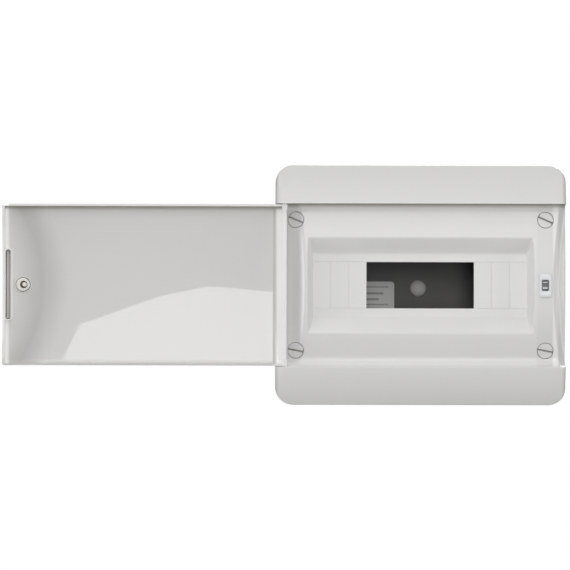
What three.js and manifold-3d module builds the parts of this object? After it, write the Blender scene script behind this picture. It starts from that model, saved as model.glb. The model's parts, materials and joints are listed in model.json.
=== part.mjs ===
// Surface-mounted 12-module distribution board enclosure: a wall tray, an arched front cover with a
// breaker window, and a side-hinged door that is held shut by a touch latch.
// Millimetres. X runs to the right, Z up and Y into the wall, so the front looks along -Y.
// The origin is the centre of the back face, on the wall. The door stands open by 180 degrees.
import * as THREE from "three";
import { mergeVertices } from "three/addons/utils/BufferGeometryUtils.js";
import Module from "manifold-3d";

const wasm = await Module();
wasm.setup();

// ---------------------------------------------------------------- driving sizes
const HALF_WIDTH = 145.5; // outer half width of the box
const HALF_HEIGHT = 120; // outer half height of the box
const DEPTH = 105; // wall to the crown of the arched front
const CORNER_RADIUS = 18;
const WALL = 2.5; // thickness of the mouldings
const SEAM_Y = -46; // where the cover meets the wall tray
const GAP = 0.3; // play between pieces that rest on each other

const MODULE = 18; // width of one breaker
const WINDOW_HALF_HEIGHT = 23.3;
const OPEN_MODULES = 3; // modules left open on each side of the middle
const ALL_MODULES = 6; // modules on each side of the middle

const FRONT_RADIUS = 344; // arch of the two bands and of the door, about an axis along X
const BAND_EDGE = 81.5; // half height of the recessed middle section
const BAND_STEP = 14.7; // how far the middle section lies behind the bands
const END_ROUND = [5, 10]; // rounding of the bands' ends: sideways, and in depth

const HINGE = [-136.1, -88]; // X and Y of the door's hinge axis
const DOOR_HALF_HEIGHT = 80.75;
const DOOR_WALL = 2.2;
const PIN_RADIUS = 1.95;

const SCREW_AT = [125, 65.5]; // X and Z of the four cover screws
const SCREW_HEAD_RADIUS = 7.8;
const LATCH_AT = [124.5, 0]; // X and Z of the latch

function finish(color, roughness, metalness) {
  return new THREE.MeshStandardMaterial({ color, roughness, metalness });
}
const plastic = (color, roughness = 0.4) => finish(color, roughness, 0);
const metal = (color, roughness = 0.35) => finish(color, roughness, 1);
const WHITE = plastic(0xe4e3df, 0.35);
const CLEAR_WHITE = plastic(0xe9ecec, 0.3);
const GREY_GREEN = plastic(0x6c7674, 0.5);
const BLUE = plastic(0x2f62b0);
const GREEN = plastic(0x3f9a4c);
const PAPER = plastic(0xd9dad6, 0.8);
const STEEL = metal(0xb9bbbd);
const BRASS = metal(0xc9a95c);

// ---------------------------------------------------------------- solid helpers
const AXES = {
  x: [new THREE.Vector3(0, 1, 0), new THREE.Vector3(0, 0, 1), new THREE.Vector3(1, 0, 0)],
  y: [new THREE.Vector3(1, 0, 0), new THREE.Vector3(0, 0, 1), new THREE.Vector3(0, -1, 0)],
  z: [new THREE.Vector3(1, 0, 0), new THREE.Vector3(0, 1, 0), new THREE.Vector3(0, 0, 1)],
};

// A closed three.js geometry as a solid that can be joined and cut.
function solid(geometry) {
  const bare = geometry.clone();
  bare.deleteAttribute("normal");
  bare.deleteAttribute("uv");
  const merged = mergeVertices(bare, 1e-4);
  return new wasm.Manifold(
    new wasm.Mesh({
      numProp: 3,
      vertProperties: new Float32Array(merged.attributes.position.array),
      triVerts: new Uint32Array(merged.index.array),
    }),
  );
}

const shapeOf = (points) => new THREE.Shape(points.map(([a, b]) => new THREE.Vector2(a, b)));

// An outline pushed along an axis from low to high. Outlines are (Y, Z) along x, (X, Z) along y and
// (X, Y) along z. A bevel rounds both ends: it adds to the length.
function prism(axis, outline, low, high, bevel = { bevelEnabled: false }) {
  const geometry = new THREE.ExtrudeGeometry(shapeOf(outline), { depth: high - low, ...bevel });
  geometry.applyMatrix4(new THREE.Matrix4().makeBasis(...AXES[axis]));
  const pushed = AXES[axis][2]; // along y this is towards the front, so that prism starts at high
  return solid(geometry.translate(...pushed.clone().multiplyScalar(axis === "y" ? -high : low)));
}

function box([x0, x1], [y0, y1], [z0, z1]) {
  const geometry = new THREE.BoxGeometry(x1 - x0, y1 - y0, z1 - z0);
  return solid(geometry.translate((x0 + x1) / 2, (y0 + y1) / 2, (z0 + z1) / 2));
}

// A round bar along y at (x, z); radii may differ at its back and its front.
function barY(x, z, radius, y0, y1, sides = 16, backRadius = radius) {
  const geometry = new THREE.CylinderGeometry(backRadius, radius, y1 - y0, sides);
  return solid(geometry.translate(x, (y0 + y1) / 2, z));
}

// A round bar along z at (x, y).
function barZ(x, y, radius, z0, z1, sides = 16) {
  const geometry = new THREE.CylinderGeometry(radius, radius, z1 - z0, sides).rotateX(Math.PI / 2);
  return solid(geometry.translate(x, y, (z0 + z1) / 2));
}

const arc = (cx, cy, radius, from, to, steps) =>
  Array.from({ length: steps + 1 }, (_, i) => {
    const angle = from + ((to - from) * i) / steps;
    return [cx + radius * Math.cos(angle), cy + radius * Math.sin(angle)];
  });

// A rectangle with round corners, centred at (cx, cy).
function roundedBox(halfWidth, halfHeight, radius, steps = 4, cx = 0, cy = 0) {
  const quarter = Math.PI / 2;
  const corners = [
    [1, 1, 0],
    [-1, 1, 1],
    [-1, -1, 2],
    [1, -1, 3],
  ];
  return corners.flatMap(([sx, sy, turn]) =>
    arc(
      cx + sx * (halfWidth - radius),
      cy + sy * (halfHeight - radius),
      radius,
      turn * quarter,
      (turn + 1) * quarter,
      steps,
    ),
  );
}

// The stretch from inner to outer on one side of the middle, low end first.
const sideSpan = (side, inner, outer) => (side > 0 ? [inner, outer] : [-outer, -inner]);

const union = (first, ...others) => others.reduce((sum, other) => sum.add(other), first);
const cut = (first, ...others) => others.reduce((rest, other) => rest.subtract(other), first);

const enclosure = new THREE.Group();
const door = new THREE.Group();
door.position.set(HINGE[0], HINGE[1], 0);
door.rotation.z = Math.PI; // swung fully open from its closed place
enclosure.add(door);

// Shows a solid as a named mesh. A piece of the door is drawn closed, so it moves to the hinge's frame.
function show(name, manifold, material, group = enclosure) {
  const mesh = manifold.getMesh();
  const geometry = new THREE.BufferGeometry();
  geometry.setAttribute("position", new THREE.BufferAttribute(new Float32Array(mesh.vertProperties), 3));
  geometry.setIndex(new THREE.BufferAttribute(new Uint32Array(mesh.triVerts), 1));
  if (group === door) geometry.translate(-HINGE[0], -HINGE[1], 0);
  const shown = new THREE.Mesh(geometry, material);
  shown.name = name;
  group.add(shown);
}

// ---------------------------------------------------------------- outer form of the cover
const FAR = 20; // a reach beyond every face, for cutters and blanks
const ARCH_STEPS = 14;
const ARCH_REACH = 122; // half height that the arches are drawn to
const MIDDLE_RADIUS = FRONT_RADIUS - BAND_STEP;

const CHAMFER_X = 130; // where the middle section starts to fall away to the right
const CHAMFER = [15.5, 9.6]; // its run sideways, and its drop

const COVE = { x: -168.7, y: -119.5, radius: 58.8 }; // hollow beside the hinge, about an axis along Z
const COVE_ARC = [14, 70, 8]; // its first and last angle in degrees, and its number of flats

const PLATE_Y = -74; // front of the plate that the breakers reach through
const RECESS_FLOOR = [108, 33]; // half width and half height of that plate
const RECESS_SLOPE = [5 / 13, 14.4 / 13]; // how fast the recess widens towards the front, per mm

// The Y of an arch at height z. The centre of all the arches is the same.
const ARCH_CENTRE_Y = -DEPTH + FRONT_RADIUS;
const archY = (radius, z) => ARCH_CENTRE_Y - Math.sqrt(radius * radius - z * z);

function archOutline(radius) {
  const front = Array.from({ length: ARCH_STEPS + 1 }, (_, i) => {
    const z = ARCH_REACH - (2 * ARCH_REACH * i) / ARCH_STEPS;
    return [archY(radius, z), z];
  });
  return [...front, [FAR, -ARCH_REACH], [FAR, ARCH_REACH]];
}

// A bevel that keeps the outline in the middle and draws it in by a drop over a run at both ends.
const edgeBevel = (run, drop, segments) => ({
  bevelEnabled: true,
  bevelThickness: run,
  bevelSize: drop,
  bevelOffset: -drop,
  bevelSegments: segments,
});

// The front with both ends rounded over, for the two bands.
function bandArch(inset) {
  const [run, drop] = END_ROUND;
  const half = HALF_WIDTH - run - inset;
  const bevel = edgeBevel(run, drop, 3);
  return prism("x", archOutline(FRONT_RADIUS - inset), -half, half, bevel);
}

// The middle section, which falls away towards its right-hand edge.
function middleArch(inset) {
  const [run, drop] = CHAMFER;
  const bevel = edgeBevel(run, drop, 1);
  return prism("x", archOutline(MIDDLE_RADIUS - inset), -HALF_WIDTH - FAR, CHAMFER_X, bevel);
}

// The hollow beside the hinge: all that lies in front of it.
function coveCutter(inset) {
  const [from, to, flats] = COVE_ARC;
  const { degToRad } = THREE.MathUtils;
  const surface = arc(COVE.x, COVE.y, COVE.radius + inset, degToRad(from), degToRad(to), flats);
  const front = -DEPTH - FAR;
  const left = -HALF_WIDTH - FAR;
  const outline = [[surface[0][0], front], ...surface, [left, surface[flats][1]], [left, front]];
  return prism("z", outline, -BAND_EDGE - inset, BAND_EDGE + inset);
}

// The recess round the breaker window: a frustum with four slopes, mitred at its corners.
function recessCutter(inset) {
  const floor = PLATE_Y + inset;
  const front = -DEPTH - FAR;
  const [halfX, halfZ] = RECESS_FLOOR.map((half) => half + inset);
  const [wideX, wideZ] = RECESS_SLOPE.map((slope, i) => [halfX, halfZ][i] + slope * (floor - front));
  const sides = [[-halfX, floor], [-wideX, front], [wideX, front], [halfX, floor]];
  const topAndBottom = [[floor, -halfZ], [floor, halfZ], [front, wideZ], [front, -wideZ]];
  const across = prism("z", sides, -HALF_HEIGHT, HALF_HEIGHT);
  return across.intersect(prism("x", topAndBottom, -HALF_WIDTH, HALF_WIDTH));
}

const caseOutline = (inset) => roundedBox(HALF_WIDTH - inset, HALF_HEIGHT - inset, CORNER_RADIUS - inset, 5);

// The cover's form, drawn in from its outer faces by an inset, and closed at the back.
function coverForm(inset, backY) {
  const slab = prism("y", caseOutline(inset), -DEPTH - 1, backY);
  const edge = BAND_EDGE + inset;
  const middleSpan = box([-HALF_WIDTH - FAR, HALF_WIDTH + FAR], [-DEPTH - FAR, FAR], [-edge, edge]);
  const bands = cut(slab.intersect(bandArch(inset)), middleSpan);
  const middle = slab.intersect(middleArch(inset)).intersect(middleSpan);
  return cut(union(bands, middle), coveCutter(inset), recessCutter(inset));
}

// ---------------------------------------------------------------- front cover
const SCORE_WIDTH = 0.7;
const SCORE_DEPTH = 0.9;
const CUP_RADIUS = 10.2;
const CUP_FLOOR_Y = -67;
const SCREW_SEAT_Y = CUP_FLOOR_Y - 2;
const SHANK_RADIUS = 3;
const HEAD_PLAY = 0.4; // round the heads and the shanks of the cover screws
const SHANK_PLAY = 0.6;
const LATCH_HOLE = [5.8, 8.6]; // half width and half height of the hole for the latch
const PIN_HOLE_RADIUS = PIN_RADIUS + 0.15;

const cornersOf = ([x, z]) => [
  ["top_left", -x, z],
  ["top_right", x, z],
  ["bottom_left", -x, -z],
  ["bottom_right", x, -z],
];

// Thin grooves that mark the blanks which break out for more modules.
function scoreLines() {
  const across = [PLATE_Y - 1, PLATE_Y + SCORE_DEPTH];
  const half = SCORE_WIDTH / 2;
  const lines = [];
  for (const side of [-1, 1]) {
    for (let i = OPEN_MODULES + 1; i <= ALL_MODULES; i += 1) {
      const x = side * i * MODULE;
      lines.push(box([x - half, x + half], across, [-WINDOW_HALF_HEIGHT, WINDOW_HALF_HEIGHT]));
    }
    const ends = sideSpan(side, OPEN_MODULES * MODULE, ALL_MODULES * MODULE);
    for (const z of [-WINDOW_HALF_HEIGHT, WINDOW_HALF_HEIGHT]) {
      lines.push(box(ends, across, [z - half, z + half]));
    }
  }
  return lines;
}

function frontCover() {
  const outer = coverForm(0, SEAM_Y);
  const shell = cut(outer, coverForm(WALL, FAR));
  const corners = cornersOf(SCREW_AT);
  const cups = corners.map(([, x, z]) => barY(x, z, CUP_RADIUS, -DEPTH, CUP_FLOOR_Y, 20).intersect(outer));
  const bores = corners.flatMap(([, x, z]) => [
    barY(x, z, SCREW_HEAD_RADIUS + HEAD_PLAY, -DEPTH, SCREW_SEAT_Y, 20),
    barY(x, z, SHANK_RADIUS + SHANK_PLAY, SCREW_SEAT_Y - 1, CUP_FLOOR_Y + 1, 12),
  ]);
  const windowHalf = OPEN_MODULES * MODULE;
  const throughPlate = [PLATE_Y - FAR, PLATE_Y + FAR];
  const windowHole = box([-windowHalf, windowHalf], throughPlate, [-WINDOW_HALF_HEIGHT, WINDOW_HALF_HEIGHT]);
  const [latchX, latchZ] = LATCH_AT;
  const latchHole = box(
    [latchX - LATCH_HOLE[0], latchX + LATCH_HOLE[0]],
    [-DEPTH, PLATE_Y],
    [latchZ - LATCH_HOLE[1], latchZ + LATCH_HOLE[1]],
  );
  const pinHoles = [-1, 1].map((side) =>
    barZ(...HINGE, PIN_HOLE_RADIUS, ...sideSpan(side, BAND_EDGE - 1, BAND_EDGE + WALL + 1)),
  );
  return cut(union(shell, ...cups), ...bores, windowHole, latchHole, ...pinHoles, ...scoreLines());
}

// ---------------------------------------------------------------- wall tray
const BACK = 3; // thickness of the tray's back
const TRAY_INSET = 0.4; // the tray's outer faces lie this far inside the cover's
const TRAY_WALL = 4.4; // the tray's inner faces lie this far inside the cover's
const LIP_HEIGHT = 4; // the lip that centres the cover on the tray
const POST_RADIUS = 8;
const POST_TOP_Y = CUP_FLOOR_Y + GAP;
const POST_LIP = 2.4; // thickness of the ring that the screw's bar hooks behind
const CHAMBER_DEPTH = 14; // room for the screw's bar to turn in, behind that ring
const CROSS_BAR = { length: 10, height: 2.8, thickness: 3 }; // at the tip of each quarter-turn screw
const KEYWAY_PLAY = 0.5; // round the bar where it passes through the ring
const KNOCKOUT_RADIUS = 11;
const KNOCKOUT_DEPTH = 0.8;
const KNOCKOUTS_X = [-90, -45, 0, 45, 90];
const FIXING_AT = [100, 92]; // X and Z of the slots for the wall screws
const FIXING_SLOT = [4.8, 2.8]; // half width and half height of those slots

function screwPost(x, z) {
  const tube = barY(x, z, POST_RADIUS, POST_TOP_Y, -BACK + 1, 16);
  const lipY = POST_TOP_Y + POST_LIP;
  const chamber = barY(x, z, CROSS_BAR.length / 2 + 0.8, lipY, lipY + CHAMBER_DEPTH, 16);
  const mouth = barY(x, z, SHANK_RADIUS + SHANK_PLAY, POST_TOP_Y - 1, lipY + 1, 12);
  const halfX = CROSS_BAR.height / 2 + KEYWAY_PLAY;
  const halfZ = CROSS_BAR.length / 2 + KEYWAY_PLAY;
  const keyway = box([x - halfX, x + halfX], [POST_TOP_Y - 1, lipY + 1], [z - halfZ, z + halfZ]);
  return { tube, hollows: [chamber, mouth, keyway] };
}

function baseTray() {
  const body = prism("y", caseOutline(TRAY_INSET), SEAM_Y + GAP, 0);
  const lip = prism("y", caseOutline(WALL + TRAY_INSET), SEAM_Y - LIP_HEIGHT, -1);
  const inside = prism("y", caseOutline(TRAY_WALL), -DEPTH, -BACK);
  const posts = cornersOf(SCREW_AT).map(([, x, z]) => screwPost(x, z));
  const knockouts = KNOCKOUTS_X.flatMap((x) =>
    [-1, 1].map((side) => {
      const geometry = new THREE.CylinderGeometry(KNOCKOUT_RADIUS, KNOCKOUT_RADIUS, 2 * KNOCKOUT_DEPTH, 16);
      geometry.rotateX(Math.PI / 2).translate(x, SEAM_Y / 2, side * (HALF_HEIGHT - TRAY_INSET));
      return solid(geometry);
    }),
  );
  const fixings = cornersOf(FIXING_AT).map(([, x, z]) =>
    prism("y", roundedBox(...FIXING_SLOT, FIXING_SLOT[1] - 0.1, 3, x, z), -BACK - 1, 1),
  );
  const tray = union(cut(union(body, lip), inside), ...posts.map((post) => post.tube));
  return cut(tray, ...posts.flatMap((post) => post.hollows), ...knockouts, ...fixings);
}

// ---------------------------------------------------------------- cover screws
const SLOT_WIDTH = 1.7;
const SLOT_ANGLES = { top_left: -24, top_right: -24, bottom_left: -10, bottom_right: -10 };
const SLOT_DEPTH = 2;
const LEFT_SLOT_FLOOR_Y = SCREW_SEAT_Y - 2.3; // the left heads lie in the cove, so their slots lie deeper

// A quarter-turn screw whose head is cut to the local form of the cover, so that it sits flush.
function coverScrew(corner, x, z) {
  const barFront = POST_TOP_Y + POST_LIP + KEYWAY_PLAY;
  const barBack = barFront + CROSS_BAR.thickness;
  const head = barY(x, z, SCREW_HEAD_RADIUS, -DEPTH, SCREW_SEAT_Y - GAP, 20).intersect(coverForm(0, SEAM_Y));
  const shank = barY(x, z, SHANK_RADIUS, SCREW_SEAT_Y - 2, barBack + 1, 12);
  const halfX = CROSS_BAR.length / 2;
  const halfZ = CROSS_BAR.height / 2;
  const crossBar = box([x - halfX, x + halfX], [barFront, barBack], [z - halfZ, z + halfZ]);
  const slotFloor = x < 0 ? LEFT_SLOT_FLOOR_Y : archY(MIDDLE_RADIUS, z) + SLOT_DEPTH;
  const slot = new THREE.BoxGeometry(4 * SCREW_HEAD_RADIUS, 2 * FAR, SLOT_WIDTH);
  slot.rotateY(THREE.MathUtils.degToRad(-SLOT_ANGLES[corner])).translate(x, slotFloor - FAR, z);
  return cut(union(head, shank, crossBar), solid(slot));
}

// ---------------------------------------------------------------- door, drawn closed
const HINGE_FACE = { x: -137.2, y: -87.5, slope: 1.66 }; // steep face along the hinge
const PULL_FACE = { x: 107.9, slope: 0.42 }; // shallow face along the free edge, from the crown
const HINGE_RIM_Y = -86.3; // how far back the rim reaches beside the hinge
const HINGE_RIM_X = [-127, -118]; // where the rim leaves that line, and where it has its full depth
const FULL_RIM_Y = -78;
const DOOR_CUT_Y = -60; // a reach behind the closed door, for its cutters
const RIM_PLAY = 1.6; // clearance between the closed door and the cover
const KNUCKLE_RADIUS = 3.4;
const KNUCKLE_HEIGHT = 6;
const PULL_BAR = { x: 139.3, halfWidth: 5.1, halfHeight: 36.2 };
const PULL_SLOT = { halfWidth: 2.4, halfHeight: 34.4, floor: 1.3 };

// The door's form, drawn in from its outer faces by an inset, and reaching back through the cover.
function doorForm(inset) {
  const hingeShift = inset * Math.hypot(1, 1 / HINGE_FACE.slope);
  const hingeX = (y) => HINGE_FACE.x + hingeShift - (y - HINGE_FACE.y) / HINGE_FACE.slope;
  const pullShift = inset * Math.hypot(1, PULL_FACE.slope);
  const pullY = (x) => -DEPTH + pullShift + PULL_FACE.slope * (x - PULL_FACE.x);
  const pullX = (y) => PULL_FACE.x + (y + DEPTH - pullShift) / PULL_FACE.slope;
  const right = HALF_WIDTH - inset;
  const front = -DEPTH - FAR;
  const back = DOOR_CUT_Y;
  const hingeSide = [[hingeX(back), back], [hingeX(front), front]];
  const pullSide = [[pullX(front), front], [right, pullY(right)], [right, back]];
  const half = DOOR_HALF_HEIGHT - inset;
  const arch = prism("x", archOutline(FRONT_RADIUS - inset), -HALF_WIDTH - FAR, HALF_WIDTH + FAR);
  return prism("z", [...hingeSide, ...pullSide], -half, half).intersect(arch);
}

const capsule = (halfWidth, halfHeight, x) => roundedBox(halfWidth, halfHeight, halfWidth - 0.01, 4, x, 0);

function doorPanel() {
  const rearCut = middleArch(-RIM_PLAY);
  const left = -HALF_WIDTH - FAR;
  const [rimX, fullX] = HINGE_RIM_X;
  const rimOutline = [[left, HINGE_RIM_Y], [rimX, HINGE_RIM_Y], [fullX, FULL_RIM_Y], [fullX, 0], [left, 0]];
  const hingeCut = prism("z", rimOutline, -HALF_HEIGHT, HALF_HEIGHT);
  const shell = cut(doorForm(0), doorForm(DOOR_WALL), rearCut, hingeCut);
  const upright = ({ halfWidth, halfHeight }) =>
    prism("y", capsule(halfWidth, halfHeight, PULL_BAR.x), -DEPTH, DOOR_CUT_Y);
  const pullBar = upright(PULL_BAR).intersect(doorForm(0)).subtract(rearCut);
  const pullSlot = upright(PULL_SLOT).intersect(doorForm(PULL_SLOT.floor));
  const knuckleFoot = DOOR_HALF_HEIGHT - KNUCKLE_HEIGHT;
  const knuckles = [-1, 1].map((side) =>
    barZ(...HINGE, KNUCKLE_RADIUS, ...sideSpan(side, knuckleFoot, DOOR_HALF_HEIGHT)),
  );
  const sockets = [-1, 1].map((side) =>
    barZ(...HINGE, PIN_RADIUS + GAP, ...sideSpan(side, knuckleFoot + 1, DOOR_HALF_HEIGHT + 1)),
  );
  return cut(union(shell, pullBar, ...knuckles), pullSlot, ...sockets);
}

// ---------------------------------------------------------------- striker on the door
const STRIKER = { base: 1.2, shift: -0.8, collarY: -92.3, neckY: -91, tipY: -86.6 };
const STRIKER_BACK_Y = -80; // a reach behind the striker, for its cutters
const STRIKER_RADII = { base: 7.4, collar: 5.2, hollow: 3.9, stem: 2.2, neck: 1.5, tip: 1.2 };

// A round base on the sloping inner face of the door, with a hollow collar round the pin.
function strikerBase() {
  const [x, z] = LATCH_AT;
  const { base, collar, hollow, stem } = STRIKER_RADII;
  const seat = doorForm(DOOR_WALL + GAP);
  const disc = barY(x + STRIKER.shift, z, base, -DEPTH, STRIKER.collarY, 24).intersect(seat);
  const plate = cut(disc, doorForm(DOOR_WALL + GAP + STRIKER.base));
  const ring = barY(x, z, collar, -DEPTH, STRIKER.collarY, 20).intersect(seat);
  const pit = barY(x, z, hollow, -DEPTH, STRIKER_BACK_Y, 20).intersect(doorForm(DOOR_WALL + GAP + 0.6));
  return cut(union(plate, ring), pit, barY(x, z, stem + GAP, -DEPTH, STRIKER_BACK_Y, 12));
}

function strikerPin() {
  const [x, z] = LATCH_AT;
  const { stem, neck, tip } = STRIKER_RADII;
  const root = barY(x, z, stem, -DEPTH, STRIKER.neckY, 12).intersect(doorForm(DOOR_WALL + GAP));
  const shaft = barY(x, z, neck, STRIKER.neckY - 1, STRIKER.tipY - 2, 12);
  const head = barY(x, z, stem, STRIKER.tipY - 3, STRIKER.tipY, 12, tip);
  return union(root, shaft, head);
}

function hingePin(side) {
  const inner = DOOR_HALF_HEIGHT - KNUCKLE_HEIGHT + 1 + GAP;
  return barZ(...HINGE, PIN_RADIUS, ...sideSpan(side, inner, BAND_EDGE + WALL + 1.5));
}

// ---------------------------------------------------------------- touch latch
const FLANGE = { y: -90.5, thickness: 1.3, half: [6.8, 12.15], corner: 3 }; // y is its rear face
const LATCH = { bore: [3.6, 5.5], boreCorner: 1.6, shell: [5.5, 8.3], backY: -71.5, endWall: 1.5 };
const JAW = { centreZ: 0.4, reach: 2.9, thickness: 1, halfWidth: 2.3, rootRadius: 0.8 };
const JAW_Y = { pivot: -84.2, tip: -88.4 };
const SLIDER = { frontY: -83.1, backY: -78, half: [3.3, 5.2], corner: 1.3 };
const CHEEK = { frontY: -86.4, innerX: 2.7, halfHeight: 4.4 }; // two ears of the slider, beside the jaws
const SPRING = { radius: 2.1, wire: 0.3, turns: 3.5, steps: 36, play: 0.5 };
const CAM_PIN = { radius: 0.5, frontY: -82.5, drop: 0.8, play: 0.5 }; // drop is below the bore's edge

function latchHousing() {
  const [x, z] = LATCH_AT;
  const flangeOutline = roundedBox(...FLANGE.half, FLANGE.corner, 3, x, z);
  const flange = prism("y", flangeOutline, FLANGE.y - FLANGE.thickness, FLANGE.y);
  const [halfX, halfZ] = LATCH.shell;
  const shell = box([x - halfX, x + halfX], [FLANGE.y - 0.5, LATCH.backY], [z - halfZ, z + halfZ]);
  const boreOutline = roundedBox(...LATCH.bore, LATCH.boreCorner, 3, x, z);
  const bore = prism("y", boreOutline, -DEPTH, LATCH.backY - LATCH.endWall);
  const slotHalf = CAM_PIN.radius + 0.4;
  const slotTop = z - LATCH.bore[1] + 0.1;
  const slotBottom = z - LATCH.bore[1] - 2 * CAM_PIN.drop;
  const slotSpan = [CAM_PIN.frontY - CAM_PIN.play, LATCH.backY - LATCH.endWall - CAM_PIN.play];
  const pinSlot = box([x - slotHalf, x + slotHalf], slotSpan, [slotBottom, slotTop]);
  return cut(union(flange, shell), bore, pinSlot);
}

function latchSlider() {
  const [x, z] = LATCH_AT;
  const [halfX, halfZ] = SLIDER.half;
  const body = prism("y", roundedBox(halfX, halfZ, SLIDER.corner, 2, x, z), SLIDER.frontY, SLIDER.backY);
  const cheeks = [-1, 1].map((side) => {
    const [low, high] = sideSpan(side, CHEEK.innerX, halfX);
    const tall = [z - CHEEK.halfHeight, z + CHEEK.halfHeight];
    return box([x + low, x + high], [CHEEK.frontY, SLIDER.frontY + 1], tall);
  });
  return union(body, ...cheeks);
}

// One of the two jaws that close on the striker; each turns about an axis along X at its root.
function latchJaw(side) {
  const x = LATCH_AT[0];
  const z = JAW.centreZ + side * JAW.reach;
  const span = [x - JAW.halfWidth, x + JAW.halfWidth];
  const blade = box(span, [JAW_Y.tip, JAW_Y.pivot], [z - JAW.thickness / 2, z + JAW.thickness / 2]);
  const root = prism("x", arc(JAW_Y.pivot, z, JAW.rootRadius, 0, (22 / 12) * Math.PI, 11), ...span);
  return union(blade, root);
}

// A compression spring: a round wire wound about an axis along y.
function latchSpring() {
  const [x, z] = LATCH_AT;
  const { radius, wire, turns, steps, play } = SPRING;
  const front = SLIDER.backY + play;
  const back = LATCH.backY - LATCH.endWall - wire - 0.3;
  class Coil extends THREE.Curve {
    getPoint(t, target = new THREE.Vector3()) {
      const angle = 2 * Math.PI * turns * t;
      const y = front + (back - front) * t;
      return target.set(x + radius * Math.cos(angle), y, z + radius * Math.sin(angle));
    }
  }
  const section = shapeOf(arc(0, 0, wire, 0, (2 * Math.PI * 5) / 6, 5));
  return solid(new THREE.ExtrudeGeometry(section, { steps, extrudePath: new Coil() }));
}

// The straight pin that steers the slider, in a slot below it.
function latchCamPin() {
  const z = LATCH_AT[1] - LATCH.bore[1] - CAM_PIN.drop;
  const back = LATCH.backY - LATCH.endWall - 2 * CAM_PIN.play;
  return barY(LATCH_AT[0], z, CAM_PIN.radius, CAM_PIN.frontY, back, 8);
}

// ---------------------------------------------------------------- pieces inside the tray
const SEAT_PLAY = 0.05; // pieces on the tray's back stand this far off it
const BRACKET_X = 96;
const BRACKET_HALF_WIDTH = 7;
const RAIL_FACE_Y = -21; // where a 35 mm rail would seat
const RAIL_HALF_HEIGHT = 17.7;
const RAIL_HOOK = { height: 1.5, outerZ: 20.5 };
const BRACKET_FOOT = { halfHeight: 24, frontY: RAIL_FACE_Y + 6 };
const BRACKET_SCREW = { shank: 1.5, head: 3.4, headHeight: 2, slotHalf: 0.5 };
const SCREW_POCKET = 3; // depth of the pocket that keeps the screw's head below the rail's seat

// A snap-in support for a 35 mm rail: a flat seat between two low hooks.
function railBracket(x) {
  const back = -BACK - SEAT_PLAY;
  const hookY = RAIL_FACE_Y - RAIL_HOOK.height;
  const upperHalf = [
    [back, BRACKET_FOOT.halfHeight],
    [BRACKET_FOOT.frontY, BRACKET_FOOT.halfHeight],
    [hookY, RAIL_HOOK.outerZ],
    [hookY, RAIL_HALF_HEIGHT],
    [RAIL_FACE_Y, RAIL_HALF_HEIGHT],
  ];
  const lowerHalf = upperHalf.map(([y, z]) => [y, -z]).reverse();
  const block = prism("x", [...upperHalf, ...lowerHalf], x - BRACKET_HALF_WIDTH, x + BRACKET_HALF_WIDTH);
  const hole = barY(x, 0, BRACKET_SCREW.shank + GAP, RAIL_FACE_Y - 1, back + 1, 10);
  const pocket = barY(x, 0, BRACKET_SCREW.head + GAP, RAIL_FACE_Y - 1, RAIL_FACE_Y + SCREW_POCKET, 12);
  return cut(block, hole, pocket);
}

function bracketScrew(x) {
  const { shank, head, headHeight, slotHalf } = BRACKET_SCREW;
  const seatY = RAIL_FACE_Y + SCREW_POCKET - 0.2;
  const stem = barY(x, 0, shank, seatY - 1, -BACK - 3, 10);
  const cap = barY(x, 0, head, seatY - headHeight, seatY, 12);
  const across = [x - head - 1, x + head + 1];
  const slot = box(across, [seatY - headHeight - 1, seatY - 1.2], [-slotHalf, slotHalf]);
  return cut(union(stem, cap), slot);
}

const BAR_Z = 68; // height of the terminal bars above and below the middle
const BAR_HALF = 46; // half length
const BAR_Y = [-33, -26.5];
const TERMINALS = 7;
const TERMINAL_PITCH = 12;
const BAR_HALF_HEIGHT = 4.5;
const WIRE_HOLE = { radius: 1.6, fromBack: 2.3 };
const TERMINAL_SCREW = { radius: 2, proud: 1.2, slotHalf: 0.35, slotDepth: 1 };
const CARRIER = { halfHeight: 5.5, beam: 3.5, ends: 8, stop: 3 };
const terminalX = (i) => (i - (TERMINALS - 1) / 2) * TERMINAL_PITCH;

// A brass bar with a wire hole along z and a clamping screw along y at each terminal.
function terminalBar(z) {
  const bar = box([-BAR_HALF, BAR_HALF], BAR_Y, [z - BAR_HALF_HEIGHT, z + BAR_HALF_HEIGHT]);
  const wireY = BAR_Y[1] - WIRE_HOLE.fromBack;
  const reach = BAR_HALF_HEIGHT + 1;
  const holes = Array.from({ length: TERMINALS }, (_, i) => {
    const x = terminalX(i);
    const thread = barY(x, z, TERMINAL_SCREW.radius + GAP, BAR_Y[0] - 1, wireY, 10);
    return [barZ(x, wireY, WIRE_HOLE.radius, z - reach, z + reach, 8), thread];
  });
  return cut(bar, ...holes.flat());
}

function terminalScrew(x, z) {
  const { radius, proud, slotHalf, slotDepth } = TERMINAL_SCREW;
  const front = BAR_Y[0] - proud;
  const tip = BAR_Y[1] - WIRE_HOLE.fromBack - WIRE_HOLE.radius - GAP;
  const across = [x - radius - 1, x + radius + 1];
  const slot = box(across, [front - 1, front + slotDepth], [z - slotHalf, z + slotHalf]);
  return cut(barY(x, z, radius, front, tip, 10), slot);
}

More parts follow.
